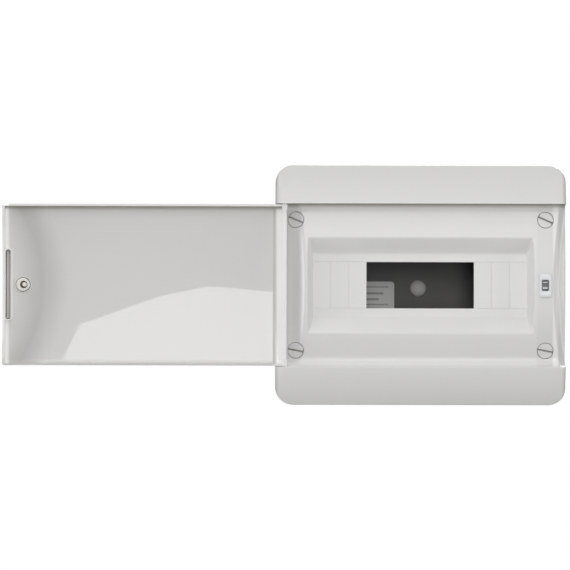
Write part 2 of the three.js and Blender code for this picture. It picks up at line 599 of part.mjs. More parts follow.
// A plastic carrier that holds a terminal bar off the tray's back by its two ends.
function barCarrier(z) {
  const tall = [z - CARRIER.halfHeight, z + CARRIER.halfHeight];
  const end = BAR_HALF + CARRIER.ends;
  const beam = box([-end, end], [BAR_Y[1] + GAP, BAR_Y[1] + CARRIER.beam], tall);
  const parts = [-1, 1].flatMap((side) => {
    const leg = box(sideSpan(side, BAR_HALF + 1, end), [BAR_Y[1] + 1, -BACK - SEAT_PLAY], tall);
    const stopSpan = sideSpan(side, BAR_HALF + GAP, BAR_HALF + CARRIER.stop);
    const stop = box(stopSpan, [BAR_Y[0] - 1, BAR_Y[1] + 1], tall);
    return [leg, stop];
  });
  return union(beam, ...parts);
}

const FILM_PLAY = 0.1; // between the tray's back and what is stuck on it
const LABEL = { half: [22, 25], corner: 3, at: [-45.5, -21.2], thickness: 0.4 };
const CAP = { radius: 8.5, flattening: 0.55, at: [1, -3] };

// The rating label, left blank here, on the back of the tray at the window's left.
function ratingLabel() {
  const back = -BACK - FILM_PLAY;
  return prism("y", roundedBox(...LABEL.half, LABEL.corner, 3, ...LABEL.at), back - LABEL.thickness, back);
}

// The domed cap over the middle fixing point.
function backCap() {
  const { radius, flattening, at } = CAP;
  const profile = arc(0, 0, radius, 0, Math.PI / 2, 5).map(([r, h]) => new THREE.Vector2(r, h * flattening));
  const crown = new THREE.Vector2(0, radius * flattening);
  const dome = new THREE.LatheGeometry([new THREE.Vector2(0, 0), ...profile.slice(0, -1), crown], 20);
  return solid(dome.rotateX(Math.PI).translate(at[0], -BACK - FILM_PLAY, at[1]));
}

// ---------------------------------------------------------------- assembly
show("base_tray", baseTray(), WHITE);
show("front_cover", frontCover(), WHITE);
for (const [corner, x, z] of cornersOf(SCREW_AT)) {
  show("cover_screw_" + corner, coverScrew(corner, x, z), WHITE);
}

show("door_panel", doorPanel(), WHITE, door);
show("hinge_pin_upper", hingePin(1), STEEL, door);
show("hinge_pin_lower", hingePin(-1), STEEL, door);
show("striker_base", strikerBase(), CLEAR_WHITE, door);
show("striker_pin", strikerPin(), CLEAR_WHITE, door);

show("latch_housing", latchHousing(), CLEAR_WHITE);
show("latch_slider", latchSlider(), GREY_GREEN);
show("latch_jaw_upper", latchJaw(1), CLEAR_WHITE);
show("latch_jaw_lower", latchJaw(-1), CLEAR_WHITE);
show("latch_spring", latchSpring(), STEEL);
show("latch_cam_pin", latchCamPin(), STEEL);

const bracketSides = [["left", -BRACKET_X], ["right", BRACKET_X]];
for (const [side, x] of bracketSides) {
  show("rail_bracket_" + side, railBracket(x), WHITE);
  show("rail_bracket_screw_" + side, bracketScrew(x), STEEL);
}
const terminalRows = [["neutral", BAR_Z, BLUE], ["earth", -BAR_Z, GREEN]];
for (const [use, z, material] of terminalRows) {
  show(use + "_bar_carrier", barCarrier(z), material);
  show(use + "_bar", terminalBar(z), BRASS);
  for (let i = 0; i < TERMINALS; i += 1) {
    show(use + "_terminal_screw_" + (i + 1), terminalScrew(terminalX(i), z), STEEL);
  }
}
show("rating_label", ratingLabel(), PAPER);
show("back_cap", backCap(), WHITE);

export default enclosure;
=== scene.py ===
"""Looks of a wall-mounted distribution board enclosure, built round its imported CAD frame.

The shapes are worked out in millimetres, in the frame's axes: X to the right, Z up and Y into the wall.
new_piece() turns them into metres. The door's pieces are worked out closed, and then turned about the hinge
to where they rest.
"""

import json
import math

import bmesh
import bpy
import numpy as np
from mathutils import Matrix, Vector


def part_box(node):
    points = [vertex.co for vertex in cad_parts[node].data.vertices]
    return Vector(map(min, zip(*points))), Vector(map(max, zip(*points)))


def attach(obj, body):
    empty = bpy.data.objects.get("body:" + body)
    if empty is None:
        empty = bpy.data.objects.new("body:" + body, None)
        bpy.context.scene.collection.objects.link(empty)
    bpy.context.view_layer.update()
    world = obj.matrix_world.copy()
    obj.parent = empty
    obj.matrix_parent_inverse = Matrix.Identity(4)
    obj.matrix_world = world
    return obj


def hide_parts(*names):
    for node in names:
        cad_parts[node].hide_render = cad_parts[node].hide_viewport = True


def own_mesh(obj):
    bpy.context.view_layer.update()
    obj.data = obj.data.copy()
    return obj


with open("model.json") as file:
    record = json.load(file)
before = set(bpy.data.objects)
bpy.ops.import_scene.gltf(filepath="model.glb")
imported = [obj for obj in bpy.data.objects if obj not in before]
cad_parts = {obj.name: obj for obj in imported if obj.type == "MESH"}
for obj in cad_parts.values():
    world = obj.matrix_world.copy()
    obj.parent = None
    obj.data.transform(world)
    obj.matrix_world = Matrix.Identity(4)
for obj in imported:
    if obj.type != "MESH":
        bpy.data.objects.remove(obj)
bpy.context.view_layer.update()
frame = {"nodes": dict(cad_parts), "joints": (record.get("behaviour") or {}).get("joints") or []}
MM = 0.001


# -------- places taken from the frame, in mm
def node_box(name):
    low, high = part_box(name)
    return low / MM, high / MM


joint_places = {j["name"]: Vector(j["pos_m"]) / MM for j in frame["joints"] if "pos_m" in j}
HINGE = joint_places["door_hinge"]
COVER_HIGH = node_box("front_cover")[1]
HALF_WIDTH = COVER_HIGH.x
HALF_HEIGHT = COVER_HIGH.z
SEAM_Y = COVER_HIGH.y
DOOR_HALF_HEIGHT = node_box("door_panel")[1].z
LATCH_LOW, LATCH_HIGH = node_box("latch_housing")
LATCH_X = (LATCH_LOW.x + LATCH_HIGH.x) / 2
SCREWS = {
    corner: joint_places[f"cover_screw_{corner}_turn"]
    for corner in ("top_left", "top_right", "bottom_left", "bottom_right")
}

# -------- driving sizes, in mm
CORNER_RADIUS = 18
WALL = 2.2
CROWN_Y = -105  # front of the closed door
FRONT_RADIUS = 344  # arch of the bands and of the door, about an axis along X
BAND_EDGE = 81.5  # half height of the recessed middle section
MIDDLE_RADIUS = 329.3
ARCH_CENTRE_Y = CROWN_Y + FRONT_RADIUS
END_RUN, END_DROP = 5, 10  # rounding of the bands' ends: sideways, and in depth
BAND_ROUND = 0.7  # rounding of the bands' long edges
STEP_FILLET = 10.5  # hollow between the middle section and the bands
CASE_ROUND = 1.2  # rounding all round the cover's outline

FACET_X, FACET_SLOPE, SHELF_DROP = 132.5, 1.4, 9.6  # finger scoop at the right: a steep face down to a shelf
FACET_SOFT, SHELF_SOFT = 0.5, 3.0
DIP_X, DIP_Z = FACET_X + 5, -1.5  # shallow dip in the scoop, beside the latch
DIP_WIDTH, DIP_HEIGHT, DIP_DEPTH = 2.5, 8, 1.6
COVE_X, COVE_Y, COVE_RADIUS = -168.7, -119.5, 58.8  # hollow beside the hinge, about an axis along Z
COVE_SOFT = 6.5

PLATE_Y = -74  # plate round the breaker window
PLATE_X, PLATE_Z = 108, 33  # half sizes of that plate
SIDE_SLOPE, TOP_SLOPE = 13 / 4.4, 13 / 14.4  # how steeply the recess rises from it
RECESS_CORNER_SOFT, RECESS_FOOT_SOFT, RECESS_MOUTH_SOFT = 1.5, 2.0, 1.6
MODULE = 18
WINDOW_X, WINDOW_Z = 3 * MODULE, 23.3
OPENING_CORNER = 0.5  # corner radius of the window and of the latch's opening
SCORED_MODULES = (4, 5, 6)  # score lines, counted in modules from the middle
SCORE_DEPTH, SCORE_HALF_WIDTH, SCORE_FLANK, SCORE_OVERRUN = 0.35, 0.45, 0.3, 0.35

BORE_RADIUS = 8.25
HEAD_RADIUS = 7.75
SEAT_Y = -69
SHANK_HOLE = 3.6
LATCH_OPENING_X, LATCH_OPENING_Z = 5.9, 8.7

CORNER_SIGNS = ((-1, 1), (1, 1), (-1, -1), (1, -1))
SCREW_X = SCREWS["top_right"].x
SCREW_Z = SCREWS["top_right"].z


# -------- forms, as functions of X and Z
def arch(radius, z):
    return ARCH_CENTRE_Y - np.sqrt(radius * radius - np.square(z))


def deeper(a, b, soft):
    """The deeper of two surfaces, with their crossing rounded over a depth of soft."""
    share = np.maximum(soft - np.abs(a - b), 0) / soft
    return np.maximum(a, b) + share * share * soft / 4


def nearer(a, b, soft):
    return -deeper(-a, -b, soft)


def round_off(run, radius):
    """How far a quarter-round of that radius has fallen at a run along it."""
    run = np.clip(run, 0, radius)
    return radius - np.sqrt(radius * radius - run * run)


def box_distance(x, z, half_x, half_z, radius):
    """Distance to a rectangle with round corners; below zero inside it."""
    dx = np.abs(x) - (half_x - radius)
    dz = np.abs(z) - (half_z - radius)
    return np.hypot(np.maximum(dx, 0), np.maximum(dz, 0)) + np.minimum(np.maximum(dx, dz), 0) - radius


def case_distance(x, z):
    return box_distance(x, z, HALF_WIDTH, HALF_HEIGHT, CORNER_RADIUS)


def recess_y(x, z):
    """The plate round the window and the four slopes that rise from it."""
    side = PLATE_Y - (np.abs(x) - PLATE_X) * SIDE_SLOPE
    top = PLATE_Y - (np.abs(z) - PLATE_Z) * TOP_SLOPE
    walls = nearer(side, top, RECESS_CORNER_SOFT)
    return nearer(np.full_like(side, PLATE_Y), walls, RECESS_FOOT_SOFT)


def score_depth(x, z):
    """Grooves round the blanks that break out for more modules."""
    far = 9
    across, up = np.abs(x), np.abs(z)
    upright = np.min([np.abs(across - i * MODULE) for i in SCORED_MODULES], axis=0)
    upright = np.where(up < WINDOW_Z + SCORE_OVERRUN, upright, far)
    beside_window = (across > WINDOW_X) & (across < PLATE_X + SCORE_OVERRUN)
    level = np.where(beside_window, np.abs(up - WINDOW_Z), far)
    return SCORE_DEPTH * np.clip((SCORE_HALF_WIDTH - np.minimum(upright, level)) / SCORE_FLANK, 0, 1)


def middle_y(x, z):
    """The recessed middle section of the cover's front."""
    y = arch(MIDDLE_RADIUS, z)
    face = ARCH_CENTRE_Y - MIDDLE_RADIUS + (x - FACET_X) * FACET_SLOPE
    y = deeper(y, nearer(face, y + SHELF_DROP, SHELF_SOFT), FACET_SOFT)
    y = y + DIP_DEPTH * np.exp(-np.square((x - DIP_X) / DIP_WIDTH) - np.square((z - DIP_Z) / DIP_HEIGHT))
    reach = np.maximum(COVE_RADIUS**2 - np.square(x - COVE_X), 0.01)
    y = deeper(y, COVE_Y + np.sqrt(reach), COVE_SOFT)
    y = deeper(y, recess_y(x, z), RECESS_MOUTH_SOFT)
    y = y + score_depth(x, z)
    return y - round_off(np.abs(z) - (BAND_EDGE - STEP_FILLET), STEP_FILLET)


def band_y(x, z):
    """The bands above and below the middle section."""
    y = arch(FRONT_RADIUS, z) + round_off(BAND_EDGE + BAND_ROUND - np.abs(z), BAND_ROUND)
    run = np.clip((np.abs(x) - (HALF_WIDTH - END_RUN)) / END_RUN, 0, 1)
    return y + END_DROP * (1 - np.sqrt(1 - run * run))


def cover_y(x, z):
    y = np.where(np.abs(z) <= BAND_EDGE + 1e-6, middle_y(x, z), band_y(x, z))
    return y + round_off(CASE_ROUND + case_distance(x, z), CASE_ROUND)


def cover_distance(x, z):
    """Distance to the cover's outline and to the edges of its openings; below zero on the plastic."""
    window = box_distance(x, z, WINDOW_X, WINDOW_Z, OPENING_CORNER)
    latch = box_distance(x - LATCH_X, z, LATCH_OPENING_X, LATCH_OPENING_Z, OPENING_CORNER)
    d = np.maximum(np.maximum(case_distance(x, z), -window), -latch)
    for side_x, side_z in CORNER_SIGNS:
        d = np.maximum(d, BORE_RADIUS - np.hypot(x - side_x * SCREW_X, z - side_z * SCREW_Z))
    return d


# -------- mesh helpers
LARGE_FLAT = 1000  # square mm; a face over this is plane, and is shaded as one
GRID_GROWTH = 0.3  # how fast the grid's steps grow away from an anchor


def graded_lines(anchors, coarse):
    """Grid lines through every (place, step) anchor, with steps that grow between them up to coarse."""
    anchors = sorted(anchors)
    lines = [anchors[0][0]]
    for (start, first), (end, last) in zip(anchors, anchors[1:]):
        if end - start < 1e-6:
            continue
        spots = [start]
        while True:
            at = spots[-1]
            step = min(coarse, first + GRID_GROWTH * (at - start), last + GRID_GROWTH * (end - at))
            if at + 1.3 * step >= end:
                break
            spots.append(at + step)
        stretch = (end - start) / (spots[-1] + step - start)
        if len(spots) > 1:
            lines += [start + (spot - start) * stretch for spot in spots[1:]]
        lines.append(end)
    return np.array(lines)


def zone(low, high, step):
    """Anchors that keep the lines about a step apart from low to high."""
    count = max(1, round((high - low) / (3 * step)))
    return [(low + (high - low) * i / count, step) for i in range(count + 1)]


def both_sides(anchors):
    """The anchors, and their mirror images about zero."""
    return [(sign * place, step) for place, step in anchors for sign in (-1, 1)]


def trimmed_grid(xs, zs, distance, height):
    """A bmesh of quads over the grid where distance is below zero, trimmed to its zero line."""
    gx, gz = np.meshgrid(xs, zs, indexing="ij")
    d = distance(gx, gz)
    d[np.abs(d) < 0.03] = 0  # a corner this close to the outline counts as on it
    inside = d <= 0
    spots, index = [], {}

    def corner(i, j):
        if (i, j) not in index:
            index[i, j] = len(spots)
            spots.append((gx[i, j], gz[i, j]))
        return index[i, j]

    def crossing(a, b):
        """The new corner where the outline cuts the grid line from a to b."""
        key = (min(a, b), max(a, b))
        if key not in index:
            share = d[a] / (d[a] - d[b])
            index[key] = len(spots)
            spots.append((gx[a] + (gx[b] - gx[a]) * share, gz[a] + (gz[b] - gz[a]) * share))
        return index[key]

    faces = []
    full = inside[:-1, :-1] & inside[1:, :-1] & inside[1:, 1:] & inside[:-1, 1:]
    some = inside[:-1, :-1] | inside[1:, :-1] | inside[1:, 1:] | inside[:-1, 1:]
    for i, j in zip(*np.nonzero(some)):
        ring = ((i, j), (i + 1, j), (i + 1, j + 1), (i, j + 1))
        if full[i, j]:
            faces.append([corner(*spot) for spot in ring])
            continue
        face = []
        for a, b in zip(ring, ring[1:] + ring[:1]):
            if inside[a]:
                face.append(corner(*a))
            if inside[a] != inside[b]:
                face.append(crossing(a, b))
        face = [v for k, v in enumerate(face) if v != face[k - 1]]
        if len(face) > 2:
            faces.append(face)
    flat = np.array(spots)
    ys = height(flat[:, 0], flat[:, 1])
    bm = bmesh.new()
    verts = [bm.verts.new((x, y, z)) for (x, z), y in zip(spots, ys)]
    for face in faces:
        bm.faces.new([verts[v] for v in face])
    bmesh.ops.remove_doubles(bm, verts=bm.verts, dist=0.015)
    bmesh.ops.dissolve_degenerate(bm, edges=bm.edges, dist=0.01)
    return bm


def boundary(bm, near):
    """The open edges whose middle is near, as near(x, z) says."""
    found = []
    for edge in bm.edges:
        if edge.is_boundary:
            middle = (edge.verts[0].co + edge.verts[1].co) / 2
            if near(middle.x, middle.z):
                found.append(edge)
    return found


def pull_edges(bm, edges, place):
    """Extrudes open edges once; place(co) gives where each new point goes. Returns the new edges."""
    made = bmesh.ops.extrude_edge_only(bm, edges=edges)["geom"]
    for part in made:
        if isinstance(part, bmesh.types.BMVert):
            part.co = place(part.co)
    return [part for part in made if isinstance(part, bmesh.types.BMEdge) and part.is_boundary]


def on_ring(centre, radius, y):
    """A place() for pull_edges: straight out from an axis along Y to that radius, and to that depth."""

    def place(co):
        out = Vector((co.x - centre.x, 0, co.z - centre.z)).normalized() * radius
        return Vector((centre.x + out.x, y, centre.z + out.z))

    return place


def add_object(name, bm):
    """Puts a bmesh into the scene as an object, and frees it."""
    mesh = bpy.data.meshes.new(name)
    bm.to_mesh(mesh)
    bm.free()
    obj = bpy.data.objects.new(name, mesh)
    bpy.context.scene.collection.objects.link(obj)
    return obj


def new_piece(name, bm, body, slot, *materials, sharp=35, modifiers=(), closed_door=False):
    """Makes a bmesh in millimetres into a piece that rides on a body, with its modifiers applied.

    closed_door says that the piece was worked out on the closed door, and is to be turned to the open one.
    """
    bmesh.ops.scale(bm, vec=(MM, MM, MM), verts=bm.verts)
    if closed_door:
        hinge = HINGE * MM
        turn = Matrix.Translation(hinge) @ Matrix.Rotation(math.pi, 4, "Z") @ Matrix.Translation(-hinge)
        bmesh.ops.transform(bm, matrix=turn, verts=bm.verts)
    obj = add_object(name, bm)
    mesh = obj.data
    for material in materials:
        mesh.materials.append(material)
    for kind, settings in modifiers:
        modifier = obj.modifiers.new(kind.lower(), kind)
        for key, value in settings.items():
            setattr(modifier, key, value)
    if modifiers:
        graph = bpy.context.evaluated_depsgraph_get()
        mesh = bpy.data.meshes.new_from_object(obj.evaluated_get(graph))
        obj.modifiers.clear()
        obj.data = mesh
    mesh.shade_smooth()
    mesh.set_sharp_from_angle(angle=math.radians(sharp))
    for face in mesh.polygons:
        if face.area > LARGE_FLAT * MM * MM:
            face.use_smooth = False
    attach(obj, body)
    return obj


def shell(thickness, rim_material):
    """A Solidify modifier that gives an outer skin its thickness, in mm, inwards."""
    settings = {
        "thickness": thickness * MM,
        "offset": -1,
        "use_even_offset": True,
        "thickness_clamp": 1.5,
        "material_offset": rim_material,
    }
    return ("SOLIDIFY", settings)


def soft_edges(width, segments, angle):
    """A Bevel modifier for the edges that bend by more than an angle, in degrees."""
    settings = {
        "width": width * MM,
        "segments": segments,
        "limit_method": "ANGLE",
        "angle_limit": math.radians(angle),
        "use_clamp_overlap": True,
    }
    return ("BEVEL", settings)


def circle(radius, sides):
    """Points round a circle, as (across, up) from its centre."""
    angles = [2 * math.pi * k / sides for k in range(sides)]
    return [(radius * math.cos(a), radius * math.sin(a)) for a in angles]


def ring_outline(half_x, half_z, radius, steps=6):
    """Points round a rectangle with round corners, as (x, z), anticlockwise from its right."""
    points = []
    for quarter, (side_x, side_z) in enumerate(((1, 1), (-1, 1), (-1, -1), (1, -1))):
        for i in range(steps + 1):
            angle = (quarter + i / steps) * math.pi / 2
            x = side_x * (half_x - radius) + radius * math.cos(angle)
            z = side_z * (half_z - radius) + radius * math.sin(angle)
            points.append((x, z))
    return points


def loft(rings, close_start=True, close_end=True, bm=None):
    """Joins rings of equally many points with quads. Each end is capped, or left open."""
    bm = bm or bmesh.new()
    loops = [[bm.verts.new(point) for point in ring] for ring in rings]
    for lower, upper in zip(loops, loops[1:]):
        for k in range(len(lower)):
            bm.faces.new((lower[k - 1], lower[k], upper[k], upper[k - 1]))
    if close_start:
        bm.faces.new(loops[0][::-1])
    if close_end:
        bm.faces.new(loops[-1])
    return bm


def turned(profile, centre_x, centre_z, sides, **options):
    """A form of revolution about an axis along Y, from (radius, y) pairs. The options are loft's."""
    rings = []
    for radius, y in profile:
        rings.append([(centre_x + across, y, centre_z + up) for across, up in circle(radius, sides)])
    return loft(rings, **options)


def fix_normals(bm):
    """Welds what meets, and turns all faces out."""
    bmesh.ops.remove_doubles(bm, verts=bm.verts, dist=1e-4)
    bmesh.ops.recalc_face_normals(bm, faces=bm.faces)
    return bm


# -------- materials
CLOUD_SIZE, GLOSS_SIZE, WAVE_SIZE = 70, 25, 28  # widths of colour shifts, gloss shifts and broad waves, in mm
GLOSS_SHIFT = 0.05


def link(tree, source, target):
    tree.links.new(source, target)


def math_node(tree, operation, *values):
    """A Math node over numbers and other nodes' outputs. Returns its own output."""
    node = tree.nodes.new("ShaderNodeMath")
    node.operation = operation
    for value, socket in zip(values, node.inputs):
        if isinstance(value, (int, float)):
            socket.default_value = value
        else:
            link(tree, value, socket)
    return node.outputs[0]


def color_mix(tree, share, first, second):
    """Mixes two colours, each a tuple or another node's output. share is how much there is of the second."""
    node = tree.nodes.new("ShaderNodeMix")
    node.data_type = "RGBA"
    link(tree, share, node.inputs["Factor"])
    for color, socket in ((first, node.inputs["A"]), (second, node.inputs["B"])):
        if isinstance(color, tuple):
            socket.default_value = (*color, 1)
        else:
            link(tree, color, socket)
    return node.outputs["Result"]


def noise(tree, place, size, detail):
    """Noise from 0 to 1, with patches about a size across, in mm."""
    node = tree.nodes.new("ShaderNodeTexNoise")
    node.inputs["Scale"].default_value = 1 / (size * MM)
    node.inputs["Detail"].default_value = detail
    link(tree, place, node.inputs["Vector"])
    return node.outputs["Fac"]


def spread(tree, source, low, high, start=0.3, end=0.7):
    """Maps start to end onto low to high. The usual start and end are where a noise mostly keeps."""
    node = tree.nodes.new("ShaderNodeMapRange")
    node.inputs["From Min"].default_value = start
    node.inputs["From Max"].default_value = end
    node.inputs["To Min"].default_value = low
    node.inputs["To Max"].default_value = high
    link(tree, source, node.inputs["Value"])
    return node.outputs["Result"]


def bump_node(tree, height, depth):
    """A Bump node that makes a height from 0 to 1 as deep as depth, in mm."""
    node = tree.nodes.new("ShaderNodeBump")
    node.inputs["Strength"].default_value = 1
    node.inputs["Distance"].default_value = depth * MM
    link(tree, height, node.inputs["Height"])
    return node


def add_ramps(tree, place, tint, ramps):
    """Lays ramps over a colour. surface() says what they are."""
    split = tree.nodes.new("ShaderNodeSeparateXYZ")
    link(tree, place, split.inputs[0])
    x, z = split.outputs["X"], split.outputs["Z"]
    bend = math_node(tree, "MULTIPLY", math_node(tree, "POWER", z, 2.0), CREASE_BOW / MM)
    axes = {
        "X": x,
        "Z": z,
        "bow": math_node(tree, "ADD", x, bend),
        "low": math_node(tree, "MULTIPLY", z, -1.0),
        "high": z,
    }
    middle_edge = (BAND_EDGE + 0.02) * MM
    within = math_node(tree, "LESS_THAN", math_node(tree, "ABSOLUTE", z), middle_edge)
    for axis, start, end, other in ramps:
        share = spread(tree, axes[axis], 0, 1, start * MM, end * MM)
        if axis not in ("low", "high"):
            share = math_node(tree, "MULTIPLY", within, share)
        tint = color_mix(tree, share, tint, other)
    return tint


def surface(name, color, roughness, shade=0.03, grain=0.02, grain_size=0.35, wave=0.03, ramps=(), **sockets):
    """A Principled material with soft colour shifts, an uneven gloss and a fine moulded or cast grain.

    shade is how far the colour shifts, grain how deep the bumps are in mm, grain_size how wide they are
    in mm, and wave how deep the broad unevenness is in mm.
    ramps paint light and shade into the colour. They are (axis, start, end, colour): between those two
    places, in mm, the colour turns to that one, within the height of the recessed middle section. Besides X
    and Z there is the axis
    "bow", which runs square to the bowed crease of the door, and "low" and "high", which run down and up and
    take in the bands as well.
    """
    material = bpy.data.materials.new(name)
    material.use_nodes = True
    tree = material.node_tree
    shader = tree.nodes["Principled BSDF"]
    for socket, value in sockets.items():
        shader.inputs[socket].default_value = value
    place = tree.nodes.new("ShaderNodeTexCoord").outputs["Object"]

    darker = tuple(c * (1 - shade) for c in color)
    lighter = tuple(min(c * (1 + shade), 1) for c in color)
    clouds = spread(tree, noise(tree, place, CLOUD_SIZE, 3), 0, 1)
    tint = color_mix(tree, clouds, darker, lighter)
    if ramps:
        tint = add_ramps(tree, place, tint, ramps)
    link(tree, tint, shader.inputs["Base Color"])

    dull, glossy = roughness * (1 + GLOSS_SHIFT), roughness * (1 - GLOSS_SHIFT)
    link(tree, spread(tree, noise(tree, place, GLOSS_SIZE, 1), glossy, dull), shader.inputs["Roughness"])

    fine = bump_node(tree, noise(tree, place, grain_size, 2), grain)
    broad = bump_node(tree, noise(tree, place, WAVE_SIZE, 1), wave)
    link(tree, broad.outputs["Normal"], fine.inputs["Normal"])
    link(tree, fine.outputs["Normal"], shader.inputs["Normal"])
    return material


PULL_X, PULL_SLOPE = 107.9, 0.42  # crease between the closed door's front and its slanted pull face
CREASE_BOW = 1 / (2 * FRONT_RADIUS * PULL_SLOPE)
OPEN_CREASE = 2 * HINGE.x - PULL_X  # where the crease is on the open door

# These ramps put shading into the plastic's colour that the lights alone don't give.
PAINTED_LIGHT = (0.95, 0.94, 0.92)
SHADE = (0.30, 0.28, 0.24)
SHELL_COLOR = (0.745, 0.742, 0.73)
SHELL_PAINTED_SHADE = (0.70, 0.697, 0.685)
# painted light: the hollow beside the hinge turns paler towards the hinge
COVE_PAINTED_LIGHT = ("X", -121, -130, PAINTED_LIGHT)
# painted shadow under the top band
UNDER_BAND_PAINTED_SHADOW = ("Z", 77.2, 81.0, SHADE)
# painted shade: the top band a little darker
HIGH_BAND_PAINTED_SHADE = ("high", 81.6, 83, (0.695, 0.692, 0.68))
# painted shade: the bottom band darker towards the bottom
LOW_BAND_PAINTED_SHADE = ("low", 84, 122, (0.62, 0.617, 0.605))
# painted shade and light at the right of the middle section: darker from beside the recess outwards, paler on
# the scoop's steep face, and darker again on its shelf
FACET_PAINTED_LIGHT_AND_SHADE = (
    ("X", 115, 118, SHELL_PAINTED_SHADE),
    ("X", 131.5, 133.5, (0.85, 0.845, 0.83)),
    ("X", 136.5, 139.5, SHELL_PAINTED_SHADE),
)
SHELL_PAINTED_LIGHT_AND_SHADE = (COVE_PAINTED_LIGHT, *FACET_PAINTED_LIGHT_AND_SHADE, UNDER_BAND_PAINTED_SHADOW, LOW_BAND_PAINTED_SHADE, HIGH_BAND_PAINTED_SHADE)
# painted shadow under the door's top wall
DOOR_TOP_PAINTED_SHADOW = ("Z", 74.5, 78.5, SHADE)
# painted shade: the glossy inner face darkens towards the pull crease; with it, the painted shadow under the
# top wall
GLOSSY_DOOR_PAINTED_SHADE = (("bow", OPEN_CREASE + 26, OPEN_CREASE, (0.57, 0.565, 0.55)), DOOR_TOP_PAINTED_SHADOW)
SATIN_DOOR_PAINTED_LIGHT_AND_SHADE = (
    # painted shade: a soft dark valley along the pull crease
    ("bow", OPEN_CREASE - 36, OPEN_CREASE, (0.53, 0.525, 0.51)),
    ("bow", OPEN_CREASE, OPEN_CREASE + 26, (0.70, 0.695, 0.68)),
    ("X", -149, -148, (0.56, 0.555, 0.53)),  # painted shadow line along the hinge edge
    ("X", -146, -143.5, (0.89, 0.88, 0.86)),  # painted light on the hinge edge itself
    ("X", -411, -414, PAINTED_LIGHT),  # painted highlight along the free edge
    DOOR_TOP_PAINTED_SHADOW,
)

PLASTIC = {"shade": 0.008, "grain": 0.003}
SHELL_WHITE = surface("shell_white", SHELL_COLOR, 0.30, ramps=SHELL_PAINTED_LIGHT_AND_SHADE, **PLASTIC)
TRIM_WHITE = surface("trim_white", (0.82, 0.817, 0.80), 0.30, **PLASTIC)
DOOR_OUTSIDE = surface("door_outside", SHELL_COLOR, 0.30, **PLASTIC)
DOOR_WHITE = surface(
    "door_white", (0.71, 0.706, 0.69), 0.02, shade=0.006, grain=0.0, wave=0.004, ramps=GLOSSY_DOOR_PAINTED_SHADE
)
DOOR_SATIN = surface(
    "door_satin", (0.76, 0.755, 0.74), 0.55, shade=0.006, grain=0.003, ramps=SATIN_DOOR_PAINTED_LIGHT_AND_SHADE
)
TRAY_WHITE = surface("tray_white", (0.72, 0.715, 0.695), 0.45, shade=0.015, grain=0.01)
# painted shade: the inside of the cover and the tray, dark as shade falls inside the box
INSIDE_PAINTED_SHADE = surface("inside_painted_shade", (0.11, 0.108, 0.102), 0.5, shade=0.02, grain=0.01)
# painted shade, warm in tone: the pull bar's finger slot and the groove in the striker's collar
WARM_PAINTED_SHADE = surface("warm_painted_shade", (0.17, 0.135, 0.09), 0.5, shade=0.05, grain=0.01)
# painted shade in the striker's bore
BORE_PAINTED_SHADE = surface("bore_painted_shade", (0.20, 0.14, 0.07), 0.5, shade=0.1, grain=0.01)
# painted shade in the floors of the screws' slots
SLOT_PAINTED_SHADE = surface("slot_painted_shade", (0.40, 0.38, 0.35), 0.5, shade=0.1, grain=0.01)
# The screw heads in the cove take its painted light as well.
SCREW_WHITE = surface(
    "screw_white", (0.73, 0.727, 0.715), 0.34, shade=0.012, grain=0.006, ramps=(COVE_PAINTED_LIGHT,)
)
LATCH_WHITE = surface("latch_white", (0.72, 0.745, 0.765), 0.22, shade=0.01, grain=0.003)
PIN_WHITE = surface("striker_white", (0.82, 0.815, 0.79), 0.25, shade=0.01, grain=0.003)
SLIDER_GREY = surface("slider_grey", (0.30, 0.33, 0.32), 0.42, shade=0.06, grain=0.004)
# painted light: the jaws sit deep in the latch and are made near-white so that they look lit
JAW_PAINTED_LIGHT = surface("jaw_painted_light", (0.97, 0.97, 0.96), 0.3, shade=0.01, grain=0.003)
ZINC_STEEL = surface("zinc_steel", (0.60, 0.60, 0.61), 0.34, shade=0.06, grain=0.006, Metallic=1.0)
BAR_BRASS = surface("bar_brass", (0.70, 0.50, 0.19), 0.32, shade=0.08, grain=0.008, Metallic=1.0)
CARRIER_BLUE = surface("carrier_blue", (0.03, 0.12, 0.45), 0.4, shade=0.04, grain=0.006)
CARRIER_GREEN = surface("carrier_green", (0.05, 0.30, 0.08), 0.4, shade=0.04, grain=0.006)


# -------- front cover
def cover_lines():
    """Grid lines that are dense where the cover's front bends. The pairs are a place and its spacing."""
    beside = (-0.5, 0, 0.5)
    scores = [(i * MODULE + shift, 0.15) for i in SCORED_MODULES for shift in beside]
    recess_sides = [(109.5, 0.4), (112.5, 0.5)]
    case_ends = [(HALF_WIDTH, 0.1), (HALF_WIDTH - END_RUN, 0.9)]
    across = both_sides(scores + [(WINDOW_X, 0.4)] + recess_sides + case_ends)
    cove, right_bores, scoop = zone(-139, -116, 1.0), zone(116, 131, 1.0), zone(131.5, 142, 0.45)

    window_edge = [(WINDOW_Z + shift, 0.15) for shift in beside]
    recess_foot, recess_mouth = zone(31, 36, 0.5), zone(46.5, 50.5, 0.5)
    bores, fillet = zone(56.5, 74.5, 1.0), [(80.3, 0.3)]
    band_edge = [(BAND_EDGE, 0.05), (BAND_EDGE + 0.04, 0.04), (BAND_EDGE + BAND_ROUND, 0.3)]
    case_edge = [(HALF_HEIGHT, 0.1), (HALF_HEIGHT - 2, 0.8)] + zone(101, 117, 1.6)
    latch_opening = [(5, 1.2), (9, 1.2)]
    upright = window_edge + recess_foot + recess_mouth + latch_opening
    upright += bores + fillet + band_edge + case_edge
    return graded_lines(across + cove + right_bores + scoop, 4.0), graded_lines(both_sides(upright), 3.2)


